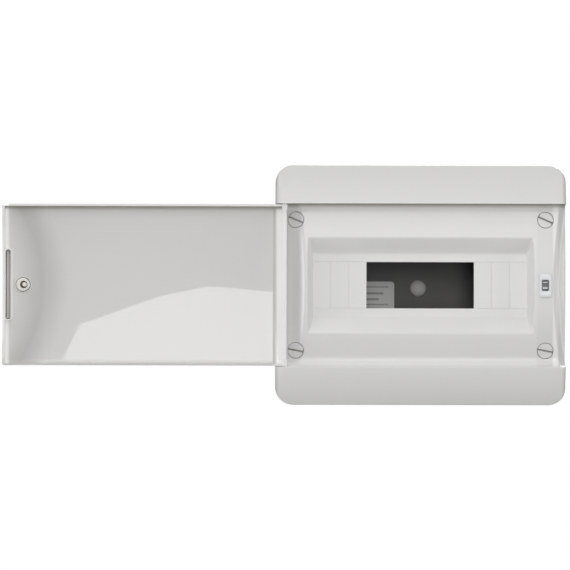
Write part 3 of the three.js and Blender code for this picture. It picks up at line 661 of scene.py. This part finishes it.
def make_cover():
    """One moulded skin with its rim and its four screw bores, thickened inwards."""
    bm = trimmed_grid(*cover_lines(), cover_distance, cover_y)
    rim = boundary(bm, lambda x, z: case_distance(x, z) > -0.2)
    pull_edges(bm, rim, lambda co: Vector((co.x, SEAM_Y, co.z)))
    for side_x, side_z in CORNER_SIGNS:
        centre = Vector((side_x * SCREW_X, 0, side_z * SCREW_Z))
        edges = boundary(bm, lambda x, z: math.hypot(x - centre.x, z - centre.z) < BORE_RADIUS + 0.2)
        edges = pull_edges(bm, edges, on_ring(centre, BORE_RADIUS, SEAT_Y))
        pull_edges(bm, edges, on_ring(centre, SHANK_HOLE, SEAT_Y))
    # The inner faces of the thickening take the painted shade.
    cover = new_piece("cover_shell", bm, "case", "shell_plastic", SHELL_WHITE, INSIDE_PAINTED_SHADE,
                      modifiers=[shell(WALL, 1)])
    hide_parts("front_cover")


make_cover()

# -------- cover screws
SLOT_ANGLES = {"top_left": -24, "top_right": -24, "bottom_left": -10, "bottom_right": -10}
SLOT_WIDTH, SLOT_DEPTH, SLOT_FLANK = 1.7, 2.2, 0.24
HEAD_ROUND = 0.35
HEAD_BACK = SEAT_Y - 0.3
NECK = ((HEAD_RADIUS, HEAD_BACK), (3.0, HEAD_BACK), (3.0, -60.9), (2.2, -60.3))  # radius and depth
CROSS_BAR = (5, 1.4, 0.3)  # half length, half height and corner radius of the bar that locks behind the cover
CROSS_BAR_Y = (-63.8, -60.8)


def make_screw(corner):
    """A quarter-turn screw. Its head follows the cover's local form, and has a slot that runs across it."""
    centre = SCREWS[corner]
    angle = math.radians(SLOT_ANGLES[corner])
    along = np.array((math.cos(angle), math.sin(angle)))

    def off_slot(x, z):
        return np.abs((z - centre.z) * along[0] - (x - centre.x) * along[1])

    def head_y(x, z):
        edge = HEAD_RADIUS - np.hypot(x - centre.x, z - centre.z)
        slot = SLOT_DEPTH * np.clip(((SLOT_WIDTH + SLOT_FLANK) / 2 - off_slot(x, z)) / SLOT_FLANK, 0, 1)
        return middle_y(x, z) + round_off(HEAD_ROUND - edge, HEAD_ROUND) + slot

    side = zone(-HEAD_RADIUS - 0.3, HEAD_RADIUS + 0.3, 0.24)
    xs = graded_lines([(centre.x + s, step) for s, step in side], 0.3)
    zs = graded_lines([(centre.z + s, step) for s, step in side], 0.3)
    bm = trimmed_grid(xs, zs, lambda x, z: np.hypot(x - centre.x, z - centre.z) - HEAD_RADIUS, head_y)
    edges = [edge for edge in bm.edges if edge.is_boundary]
    for radius, y in NECK:
        edges = pull_edges(bm, edges, on_ring(centre, radius, y))
    bmesh.ops.contextual_create(bm, geom=edges)
    bar = [(centre.x + x, centre.z + z) for x, z in ring_outline(*CROSS_BAR, 2)]
    loft([[(x, y, z) for x, z in bar] for y in CROSS_BAR_Y], bm=bm)
    for face in bm.faces:
        middle = face.calc_center_median()
        near = off_slot(middle.x, middle.z) < SLOT_WIDTH / 2 + 0.1
        sunk = middle.y - float(middle_y(middle.x, middle.z)) > 0.5
        face.material_index = int(near and sunk and face.calc_area() < 0.2)
    name = "quarter_turn_screw_" + corner
    screw = new_piece(name, bm, f"cover_screw_{corner}", "shell_plastic", SCREW_WHITE, SLOT_PAINTED_SHADE, sharp=40)
    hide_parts(f"cover_screw_{corner}")


for corner in SCREWS:
    make_screw(corner)

# -------- wall tray
TRAY_INSET, TRAY_WALL, BACK = 0.4, 4.4, 3  # BACK is how thick the back is
LIP_Y = SEAM_Y - 4
LIP_INSET = WALL + 0.7
POST_RADIUS, POST_TOP = 8, -66.7
POST = ((POST_RADIUS + 0.8, -1.5), (POST_RADIUS + 0.8, -BACK - 0.2), (POST_RADIUS, -BACK - 1.4),
        (POST_RADIUS, POST_TOP))  # radius and depth, for the cover screws' posts
POST_HOLLOW = ((3.6, POST_TOP - 1), (3.6, POST_TOP + 2.4), (5.8, POST_TOP + 2.4), (5.8, POST_TOP + 16.4))
FIXING_X, FIXING_Z = 100, 92
FIXING_SLOT = (4.8, 2.8, 2.7)
KNOCKOUTS = (-90, -45, 0, 45, 90)
KNOCKOUT_GROOVE = ((11, 0.5), (11, -0.8), (10, -0.8), (10, 0.5), (11, 0.5))  # radius, and height off the wall


def case_ring(inset, y):
    points = ring_outline(HALF_WIDTH - inset, HALF_HEIGHT - inset, max(CORNER_RADIUS - inset, 2), 10)
    return [(x, y, z) for x, z in points]


def cutter(bm, name):
    """A helper object for a Boolean modifier."""
    fix_normals(bm)
    bmesh.ops.scale(bm, vec=(MM, MM, MM), verts=bm.verts)
    return add_object(name, bm)


def tray_body():
    """The open tray with its lip. Its inside takes the second material, the painted shade."""
    outer = TRAY_INSET
    rings = [(outer + 3, 0), (outer + 1.2, 0), (outer + 0.35, -0.35), (outer, -1.2), (outer, SEAM_Y + 0.3)]
    rings += [(LIP_INSET, SEAM_Y + 0.3), (LIP_INSET, LIP_Y + 0.5), (LIP_INSET + 0.5, LIP_Y)]
    rings += [(TRAY_WALL, LIP_Y), (TRAY_WALL, -BACK - 1.5), (TRAY_WALL + 0.5, -BACK - 0.5)]
    rings += [(TRAY_WALL + 1.5, -BACK)]
    bm = fix_normals(loft([case_ring(inset, y) for inset, y in rings]))
    for face in bm.faces:
        middle = face.calc_center_median()
        inward = case_distance(middle.x, middle.z) < -TRAY_WALL + 0.2
        face.material_index = int(inward and middle.y < -BACK + 0.5)
    return bm


def add_fixing_slot(bm, centre_x, centre_z):
    """A slot through the back for a wall screw."""
    outline = [(centre_x + x, centre_z + z) for x, z in ring_outline(*FIXING_SLOT)]
    loft([[(x, y, z) for x, z in outline] for y in (-BACK - 1, 1)], bm=bm)


def add_knockout_groove(bm, centre_x, side):
    """A ring groove in the top or bottom wall, which marks a cable knockout."""
    wall_z = side * (HALF_HEIGHT - TRAY_INSET)
    rings = []
    for radius, height in KNOCKOUT_GROOVE:
        ring = [(centre_x + x, SEAM_Y / 2 + y, wall_z + side * height) for x, y in circle(radius, 40)]
        rings.append(ring)
    loft(rings, close_start=False, close_end=False, bm=bm)


def make_tray():
    """The tray with its four cover posts, fixing slots and cable knockouts."""
    posts, hollows = bmesh.new(), bmesh.new()
    for side_x, side_z in CORNER_SIGNS:
        x, z = side_x * SCREW_X, side_z * SCREW_Z
        turned(POST, x, z, 36, bm=posts)
        turned(POST_HOLLOW, x, z, 28, bm=hollows)
        add_fixing_slot(hollows, side_x * FIXING_X, side_z * FIXING_Z)
    for centre_x in KNOCKOUTS:
        for side in (-1, 1):
            add_knockout_groove(hollows, centre_x, side)
    added, removed = cutter(posts, "tray_posts"), cutter(hollows, "tray_hollows")
    steps = [("BOOLEAN", {"object": added, "operation": "UNION", "solver": "EXACT"}),
             ("BOOLEAN", {"object": removed, "operation": "DIFFERENCE", "solver": "EXACT"}),
             soft_edges(0.3, 2, 40)]
    tray = new_piece("tray_shell", tray_body(), "case", "shell_plastic", TRAY_WHITE, INSIDE_PAINTED_SHADE, sharp=38,
                     modifiers=steps)
    for helper in (added, removed):
        bpy.data.objects.remove(helper)
    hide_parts("base_tray")


make_tray()

# -------- door
HINGE_FACE_X, HINGE_FACE_Y, HINGE_SLOPE = -137.2, -87.5, 1.66  # slanted face down to the hinge
HINGE_RIM_Y, DEEPEST_RIM_Y = -86.3, -60
RIM_RISE_X, RIM_RISE_SLOPE = -127, 8.3 / 9  # from where the rim reaches further back, and how steeply
RIM_PLAY = 1.6
DOOR_ROUND, DOOR_FILLET, DOOR_CORNER = 2.4, 2.6, 2.5
PULL_SOFT, HINGE_SOFT = 3.2, 1.0
HINGE_EDGE = WALL * math.hypot(1, 1 / HINGE_SLOPE)  # width of the hinge edge, seen from the front
HINGE_END = 8  # width of the strip at the hinge where only the top and bottom edges are rounded
DOOR_LEFT = HINGE_FACE_X - (HINGE_RIM_Y - HINGE_FACE_Y) / HINGE_SLOPE
DOOR_MIDDLE = (DOOR_LEFT + HALF_WIDTH) / 2
DOOR_HALF_WIDTH = (HALF_WIDTH - DOOR_LEFT) / 2


def door_distance(x, z):
    return box_distance(x - DOOR_MIDDLE, z, DOOR_HALF_WIDTH, DOOR_HALF_HEIGHT, DOOR_CORNER)


def door_y(x, z, inset=0.0):
    """The closed door's outer face, or the same form drawn in by an inset."""
    pull = CROWN_Y + inset * math.hypot(1, PULL_SLOPE) + PULL_SLOPE * (x - PULL_X)
    shift = inset * math.hypot(1, 1 / HINGE_SLOPE)
    hinge = HINGE_FACE_Y - HINGE_SLOPE * (x - HINGE_FACE_X - shift)
    return deeper(deeper(arch(FRONT_RADIUS - inset, z), pull, PULL_SOFT), hinge, HINGE_SOFT)


def from_edge(x, z):
    """How far in from the closed door's outline a place is."""
    return np.where(x < DOOR_LEFT + HINGE_END, DOOR_HALF_HEIGHT - np.abs(z), -door_distance(x, z))


def door_outer_y(x, z):
    return door_y(x, z) + round_off(DOOR_ROUND - from_edge(x, z), DOOR_ROUND)


def door_inner_y(x, z):
    """The closed door's inner face, with a hollow fillet up to its walls."""
    return door_y(x, z, WALL) + round_off(DOOR_FILLET - (from_edge(x, z) - WALL), DOOR_FILLET)


def door_inner_distance(x, z):
    """Distance to the outline inside the door's walls, with room for the hinge edge's slope."""
    return np.maximum(door_distance(x, z) + WALL, DOOR_LEFT + HINGE_EDGE - x)


def rim_y(x, z):
    """How far back the closed door's walls reach: near the cover, and clear of the cove as it swings."""
    limit = np.clip(HINGE_RIM_Y + (x - RIM_RISE_X) * RIM_RISE_SLOPE, HINGE_RIM_Y, DEEPEST_RIM_Y)
    return np.minimum(middle_y(x, z) - RIM_PLAY, limit)


def door_lines():
    """Grid lines that are dense at the door's edges, its crease and its hinge face."""
    across = [(DOOR_LEFT, 0.25), (DOOR_LEFT + 2, 0.5), (-60, 6), (60, 6)] + zone(-134, -122, 0.45)
    across += zone(96, 139, 1.1) + zone(HALF_WIDTH - 5, HALF_WIDTH, 0.35)
    upright = zone(DOOR_HALF_HEIGHT - 5, DOOR_HALF_HEIGHT, 0.35) + [(70, 1.5), (30, 3)]
    return graded_lines(across, 5.0), graded_lines(both_sides(upright), 3.0)


def to_rim(co):
    return Vector((co.x, float(rim_y(co.x, co.z)), co.z))


def out_to_rim(co):
    """Straight out from a place inside the walls to the door's outline, on the rim."""
    step = 0.01
    across = door_distance(co.x + step, co.z) - door_distance(co.x - step, co.z)
    upright = door_distance(co.x, co.z + step) - door_distance(co.x, co.z - step)
    away = Vector((float(across), 0, float(upright))).normalized()
    return to_rim(co - away * float(door_distance(co.x, co.z)))


def make_door_skin():
    """The door's outer face and the outside of its walls."""
    bm = trimmed_grid(*door_lines(), door_distance, door_outer_y)
    pull_edges(bm, boundary(bm, lambda x, z: x > DOOR_LEFT + 0.3), to_rim)
    outside = new_piece("door_skin", bm, "door", "shell_plastic", DOOR_OUTSIDE, closed_door=True)
    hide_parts("door_panel")


def make_door_lining():
    """The door's inner face, glossy within its slanted strips, with the inside of the walls and their rim."""
    glossy_from, glossy_to = HINGE_FACE_X + 13, PULL_X - 6
    bm = trimmed_grid(*door_lines(), door_inner_distance, door_inner_y)
    for face in bm.faces:
        middle = face.calc_center_median()
        face.material_index = int(middle.x > glossy_to or middle.x < glossy_from)
    walls = pull_edges(bm, boundary(bm, lambda x, z: True), to_rim)
    before = set(bm.faces)
    pull_edges(bm, walls, out_to_rim)
    for face in set(bm.faces) - before:
        face.material_index = 2
    bmesh.ops.reverse_faces(bm, faces=bm.faces)
    new_piece("door_lining", bm, "door", "shell_plastic", DOOR_WHITE, DOOR_SATIN, TRIM_WHITE,
              closed_door=True)


BAR_X, BAR_HALF_X, BAR_HALF_Z, BAR_ROUND = 140.2, 5.0, 36.2, 0.6
SLOT_HALF_X, SLOT_HALF_Z, SLOT_FLOOR = 2.1, 34.4, 1.3


def bar_slot_distance(x, z):
    return box_distance(x - BAR_X, z, SLOT_HALF_X, SLOT_HALF_Z, SLOT_HALF_X - 0.05)


def make_pull_bar():
    """The upright boss along the free edge, with a finger slot sunk into it."""
    xs = graded_lines(zone(BAR_X - BAR_HALF_X, BAR_X + BAR_HALF_X, 0.35), 0.5)
    zs = graded_lines(both_sides([(BAR_HALF_Z + 0.1, 0.3), (29, 0.8), (33, 0.5)]), 3)

    def inside(x, z):
        return box_distance(x - BAR_X, z, BAR_HALF_X - 0.3, BAR_HALF_Z, BAR_HALF_X - 0.35)

    def height(x, z):
        face = middle_y(x, z) - RIM_PLAY - round_off(BAR_ROUND + inside(x, z), BAR_ROUND)
        floor = door_y(x, z, SLOT_FLOOR)
        share = np.clip((0.12 - bar_slot_distance(x, z)) / 0.3, 0, 1)
        return face + (floor - face) * share

    def to_door(co):
        return Vector((co.x, float(door_y(co.x, co.z, WALL / 2)), co.z))

    bm = trimmed_grid(xs, zs, inside, height)
    bmesh.ops.reverse_faces(bm, faces=bm.faces)
    pull_edges(bm, [edge for edge in bm.edges if edge.is_boundary], to_door)
    for face in bm.faces:
        middle = face.calc_center_median()
        face.material_index = int(bar_slot_distance(middle.x, middle.z) < 0.1)
    new_piece("pull_bar", bm, "door", "shell_plastic", TRIM_WHITE, WARM_PAINTED_SHADE, sharp=40, closed_door=True)


KNUCKLE_BORE, KNUCKLE_RADIUS, KNUCKLE_LENGTH, KNUCKLE_CHAMFER = 2.3, 2.8, 6, 0.2


def make_knuckle(name, low, high):
    """A hinge knuckle: a short tube about the hinge's axis."""
    shoulder = KNUCKLE_RADIUS - KNUCKLE_CHAMFER
    profile = [(KNUCKLE_BORE, low), (shoulder, low), (KNUCKLE_RADIUS, low + KNUCKLE_CHAMFER)]
    profile += [(KNUCKLE_RADIUS, high - KNUCKLE_CHAMFER), (shoulder, high), (KNUCKLE_BORE, high)]
    rings = []
    for radius, z in profile + profile[:1]:
        rings.append([(HINGE.x + x, HINGE.y + y, z) for x, y in circle(radius, 32)])
    bm = fix_normals(loft(rings, close_start=False, close_end=False))
    new_piece("door_knuckle_" + name, bm, "door", "shell_plastic", TRIM_WHITE, sharp=40, closed_door=True)


make_door_skin()
make_door_lining()
make_pull_bar()
make_knuckle("upper", DOOR_HALF_HEIGHT - KNUCKLE_LENGTH, DOOR_HALF_HEIGHT)
make_knuckle("lower", -DOOR_HALF_HEIGHT, -DOOR_HALF_HEIGHT + KNUCKLE_LENGTH)

# -------- striker on the door
STUD = ((2.2, -97.0), (2.2, -91.4), (1.5, -90.6), (1.5, -89.6), (1.8, -88.9), (1.9, -88.3), (1.7, -87.3),
        (1.2, -86.6))  # radius and depth
COLLAR_TOP = -92.3  # as far as the collar may stand out without touching the latch
COLLAR_LEAN = 0.36  # the collar stands square to the door's slanted face
COLLAR_SHIFT = 1.85  # how far its foot is beside the stud
COLLAR = ((8.2, 0), (8.2, 0.6), (7.9, 0.9), (7.4, 0.9), (7.2, 0.1), (6.8, 0.1), (6.6, 0.9), (6.5, 1.6),
          (6.2, 1.85), (5.6, 1.9), (5.5, 2.6), (5.2, 2.85), (3.9, 2.9), (3.7, 2.6), (3.65, 0.5),
          (2.5, 0.5))  # radius and height
COLLAR_BORE = 3.8
GROOVE_FROM, GROOVE_TO = 6.7, 7.3


def collar_ring(radius, height):
    """A ring of the collar, standing off the door's inner face by its height and leaning with the face."""
    ring = []
    for across, z in circle(radius, 48):
        x = LATCH_X + COLLAR_SHIFT - COLLAR_LEAN * height + across
        face = float(door_y(x, z, WALL + 0.2))
        ring.append((x, min(face + height, max(face + 0.9, COLLAR_TOP)), z))
    return ring


def make_striker():
    """The stepped collar, with painted shade in its bore and groove, and the stud that the jaws close on."""
    base = fix_normals(loft([collar_ring(radius, height) for radius, height in COLLAR]))
    for face in base.faces:
        middle = face.calc_center_median()
        foot = middle.x - LATCH_X - COLLAR_SHIFT
        if math.hypot(foot + COLLAR_LEAN * 2, middle.z) < COLLAR_BORE:
            face.material_index = 1
        elif GROOVE_FROM < math.hypot(foot, middle.z) < GROOVE_TO:
            face.material_index = 2
    piece = new_piece("striker_collar", base, "door", "latch_plastic", PIN_WHITE, BORE_PAINTED_SHADE, WARM_PAINTED_SHADE,
                      sharp=50, closed_door=True)
    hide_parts("striker_base")
    pin = fix_normals(turned(STUD, LATCH_X, 0, 32))
    piece = new_piece("striker_stud", pin, "door", "latch_plastic", PIN_WHITE, sharp=50, closed_door=True)
    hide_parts("striker_pin")


make_striker()

# -------- touch latch
FLANGE_BACK, FLANGE_THICK = -90.5, 1.3
FLANGE = (6.5, 12.0, 2.8)  # half width, half height and corner radius
LATCH_BORE = (3.6, 5.5, 1.6)
LATCH_BOX = (5.5, 8.3, 0.6)
BORE_END, BOX_END = -73.2, -71.5
SPRING_TURNS, SPRING_WIRE = 4.5, 0.3  # turns, and half the wire's thickness
SPRING_CLOSING = 0.09  # how strongly the end coils lie together


def latch_ring(form, grow, y):
    """A ring of a form's outline, grown by so much, at a depth."""
    half_x, half_z, corner = form
    return [(LATCH_X + x, y, z) for x, z in ring_outline(half_x + grow, half_z + grow, corner + grow, 8)]


def make_latch():
    """The latch's flange and box in one moulding, with the bore that the slider runs in."""
    front = FLANGE_BACK - FLANGE_THICK
    rings = [
        latch_ring(LATCH_BORE, 0, BORE_END),
        latch_ring(LATCH_BORE, 0, front + 0.35),
        latch_ring(LATCH_BORE, 0.1, front + 0.1),
        latch_ring(LATCH_BORE, 0.35, front),
        latch_ring(FLANGE, -0.5, front),
        latch_ring(FLANGE, -0.15, front + 0.14),
        latch_ring(FLANGE, 0, front + 0.5),
        latch_ring(FLANGE, 0, FLANGE_BACK),
        latch_ring(LATCH_BOX, 0, FLANGE_BACK),
        latch_ring(LATCH_BOX, 0, BOX_END - 0.3),
        latch_ring(LATCH_BOX, -0.3, BOX_END),
    ]
    bm = fix_normals(loft(rings))
    latch = new_piece("latch_frame", bm, "case", "latch_plastic", LATCH_WHITE, sharp=40)
    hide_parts("latch_housing")


def make_spring():
    """The latch's return spring: a wound wire with closed end coils, drawn at one length; nothing here
    shortens it as the slider goes in.
    """
    low, high = node_box("latch_spring")
    centre = (low + high) / 2
    radius = (high.x - low.x) / 2 - SPRING_WIRE
    length = high.y - low.y - 2 * SPRING_WIRE
    steps = int(SPRING_TURNS * 28)
    lengthwise = Vector((0, 1, 0))
    rings = []
    for step in range(steps + 1):
        share = step / steps
        angle = 2 * math.pi * SPRING_TURNS * share
        pitch = share - SPRING_CLOSING * math.sin(2 * math.pi * share)
        out = Vector((math.cos(angle), 0, math.sin(angle)))
        heart = Vector((centre.x, low.y + SPRING_WIRE + length * pitch, centre.z)) + out * radius
        rings.append([heart + (out * u + lengthwise * v) * SPRING_WIRE for u, v in circle(1, 10)])
    coil = fix_normals(loft(rings))
    spring = new_piece("latch_spring_coil", coil, "case", "screw_steel", ZINC_STEEL, sharp=50)
    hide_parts("latch_spring")
    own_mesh(spring)


make_latch()
make_spring()

# -------- label and cap inside
CAP_RIM, CAP_STEPS = 0.5, 9
INK = (0.10, 0.10, 0.11)
INK_STRENGTH = 0.5
ROWS, ROW_PITCH, THICK_ROW, THIN_ROW = 7, 6, 2.4, 1.2


def make_cap():
    """The domed cap on the tray's back."""
    low, high = node_box("back_cap")
    centre_x, centre_z = (low.x + high.x) / 2, (low.z + high.z) / 2
    radius, dome = (high.x - low.x) / 2, high.y - low.y - CAP_RIM
    profile = [(radius, high.y), (radius, high.y - CAP_RIM)]
    for i in range(1, CAP_STEPS):
        angle = i / CAP_STEPS * math.pi / 2
        profile.append((radius * math.cos(angle), high.y - CAP_RIM - dome * math.sin(angle)))
    profile.append((0.05, low.y))
    cap = new_piece("dome_cap", fix_normals(turned(profile, centre_x, centre_z, 40)), "case", "shell_plastic",
                    TRAY_WHITE, sharp=50)
    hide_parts("back_cap")


def label_material():
    """Printed film: pale, with grey bars in place of any wording. Every third bar is a thin one."""
    material = surface("label_film", (0.85, 0.85, 0.83), 0.5, shade=0.02, grain=0.002)
    tree = material.node_tree
    base_color = tree.nodes["Principled BSDF"].inputs["Base Color"]
    film = base_color.links[0].from_socket
    low, high = node_box("rating_label")
    split = tree.nodes.new("ShaderNodeSeparateXYZ")
    link(tree, tree.nodes["Texture Coordinate"].outputs["Object"], split.inputs[0])

    def between(source, start, end):
        above = math_node(tree, "GREATER_THAN", source, start * MM)
        below = math_node(tree, "LESS_THAN", source, end * MM)
        return math_node(tree, "MULTIPLY", above, below)

    ink = None
    for k in range(ROWS):
        top = high.z - 5 - ROW_PITCH * k
        row = between(split.outputs["Z"], top - (THICK_ROW if k % 3 else THIN_ROW), top)
        column = between(split.outputs["X"], low.x + 3, high.x - 6 - 5 * (k % 3))
        bar = math_node(tree, "MULTIPLY", row, column)
        ink = bar if ink is None else math_node(tree, "MAXIMUM", ink, bar)
    inked = math_node(tree, "MULTIPLY", ink, INK_STRENGTH)
    link(tree, color_mix(tree, inked, film, INK), base_color)
    return material


make_cap()

# -------- CAD pieces that keep their shape
KEPT = {
    "hinge_pin": ZINC_STEEL,
    "latch_slider": SLIDER_GREY,
    "latch_jaw": JAW_PAINTED_LIGHT,
    "latch_cam_pin": ZINC_STEEL,
    "rail_bracket_screw": ZINC_STEEL,
    "rail_bracket": TRAY_WHITE,
    "neutral_bar_carrier": CARRIER_BLUE,
    "earth_bar_carrier": CARRIER_GREEN,
    "neutral_bar": BAR_BRASS,
    "earth_bar": BAR_BRASS,
    "neutral_terminal_screw": ZINC_STEEL,
    "earth_terminal_screw": ZINC_STEEL,
    "rating_label": label_material(),
}  # by the start of the node's name; the longest that fits is the one meant
for name, node in frame["nodes"].items():
    fitting = [prefix for prefix in KEPT if name.startswith(prefix)]
    if node.hide_render or not fitting:
        continue
    material = KEPT[max(fitting, key=len)]
    node.data.materials.clear()
    node.data.materials.append(material)

# -------- camera
VIEW_X, VIEW_DISTANCE = -135.8, 3000  # the photograph's axis, and how far its camera stands off the plate
VIEW_WIDTH = 572.9  # width of the picture at the plate
VIEW_TILT = -0.12  # degrees
camera_data = bpy.data.cameras.new("camera")
camera_data.lens = camera_data.sensor_width * VIEW_DISTANCE / VIEW_WIDTH
camera = bpy.data.objects.new("camera", camera_data)
camera.location = Vector((VIEW_X, PLATE_Y - VIEW_DISTANCE, 0)) * MM
camera.rotation_euler = (math.pi / 2, math.radians(VIEW_TILT), 0)
bpy.context.scene.collection.objects.link(camera)
bpy.context.scene.camera = camera


# -------- stage and light, in metres
FLOOR_HALF, FLOOR_CENTRE = 1.2, (-0.136, -0.9, -1.0)
CARD_Y = -3.3
KEY_CARD = ((-0.80, 2.3), (-0.62, 1.36), (-0.57, 0.69), (-0.40, 0.20), (-0.294, 0.02), (-0.16, 0.12),
            (0.0, 0.1), (0.75, 0.1), (0.75, 2.3))
LOW_CARD = ((0.0, 0.1), (0.0, -0.45), (0.7, -0.7), (0.75, 0.1))
AIM = Vector((-0.05, -0.08, 0))
SOFTBOXES = (  # name, azimuth, elevation, distance, side, power
    ("left", -75, 0, 2.0, 0.9, 11),
    ("left_front", -55, 0, 2.0, 0.9, 1.5),
    ("right", 75, 0, 2.0, 0.9, 10),
    ("high_left", -40, 40, 2.0, 0.9, 6),
    ("high_right", 40, 40, 2.0, 0.9, 3.5),
    ("high", 0, 78, 2.0, 0.9, 8),
    ("low", 0, -78, 1.0, 0.5, 0.7),
    ("back", 160, 35, 2.0, 1.2, 22),
)


def make_floor():
    bm = bmesh.new()
    bmesh.ops.create_grid(bm, x_segments=8, y_segments=8, size=FLOOR_HALF)
    bmesh.ops.translate(bm, vec=FLOOR_CENTRE, verts=bm.verts)
    floor = add_object("floor", bm)
    pale = surface("floor_pale", (0.80, 0.80, 0.79), 0.7, shade=0.01, grain=0.05, grain_size=2)
    floor.data.materials.append(pale)


def make_card(name, outline, strength):
    """A large glowing card behind the camera. The glossy door mirrors its outline."""
    bm = bmesh.new()
    bm.faces.new([bm.verts.new((x, CARD_Y, z)) for x, z in outline])
    card = add_object(name, bm)
    material = bpy.data.materials.new(name)
    material.use_nodes = True
    tree = material.node_tree
    glow = tree.nodes.new("ShaderNodeEmission")
    glow.inputs["Strength"].default_value = strength
    link(tree, glow.outputs[0], tree.nodes["Material Output"].inputs["Surface"])
    card.data.materials.append(material)
    card.visible_camera = False


def make_world(strength, backdrop):
    """A white world: a dim light on the object, and a bright backdrop behind it."""
    world = bpy.data.worlds.new("studio")
    bpy.context.scene.world = world
    world.use_nodes = True
    tree = world.node_tree
    background = tree.nodes["Background"]
    background.inputs["Color"].default_value = (1, 1, 1, 1)
    path = tree.nodes.new("ShaderNodeLightPath")
    mix = tree.nodes.new("ShaderNodeMix")
    mix.inputs["A"].default_value = strength
    mix.inputs["B"].default_value = backdrop
    link(tree, path.outputs["Is Camera Ray"], mix.inputs["Factor"])
    link(tree, mix.outputs["Result"], background.inputs["Strength"])


def softbox(name, azimuth, elevation, distance, side, power):
    """A square soft light aimed at the box, with its angles right of the front and up, in degrees."""
    across, up = math.radians(azimuth), math.radians(elevation)
    away = Vector((math.sin(across) * math.cos(up), -math.cos(across) * math.cos(up), math.sin(up)))
    data = bpy.data.lights.new(name, "AREA")
    data.size = side
    data.energy = power
    lamp = bpy.data.objects.new(name, data)
    lamp.visible_camera = False
    lamp.location = AIM + away * distance
    lamp.rotation_euler = (-away).to_track_quat("-Z", "Y").to_euler()
    bpy.context.scene.collection.objects.link(lamp)


make_floor()
make_world(0.11, 1.0)
make_card("key_card", KEY_CARD, 3.9)
make_card("low_card", LOW_CARD, 5.0)
for settings in SOFTBOXES:
    softbox(*settings)
bpy.context.scene.view_settings.view_transform = "Standard"
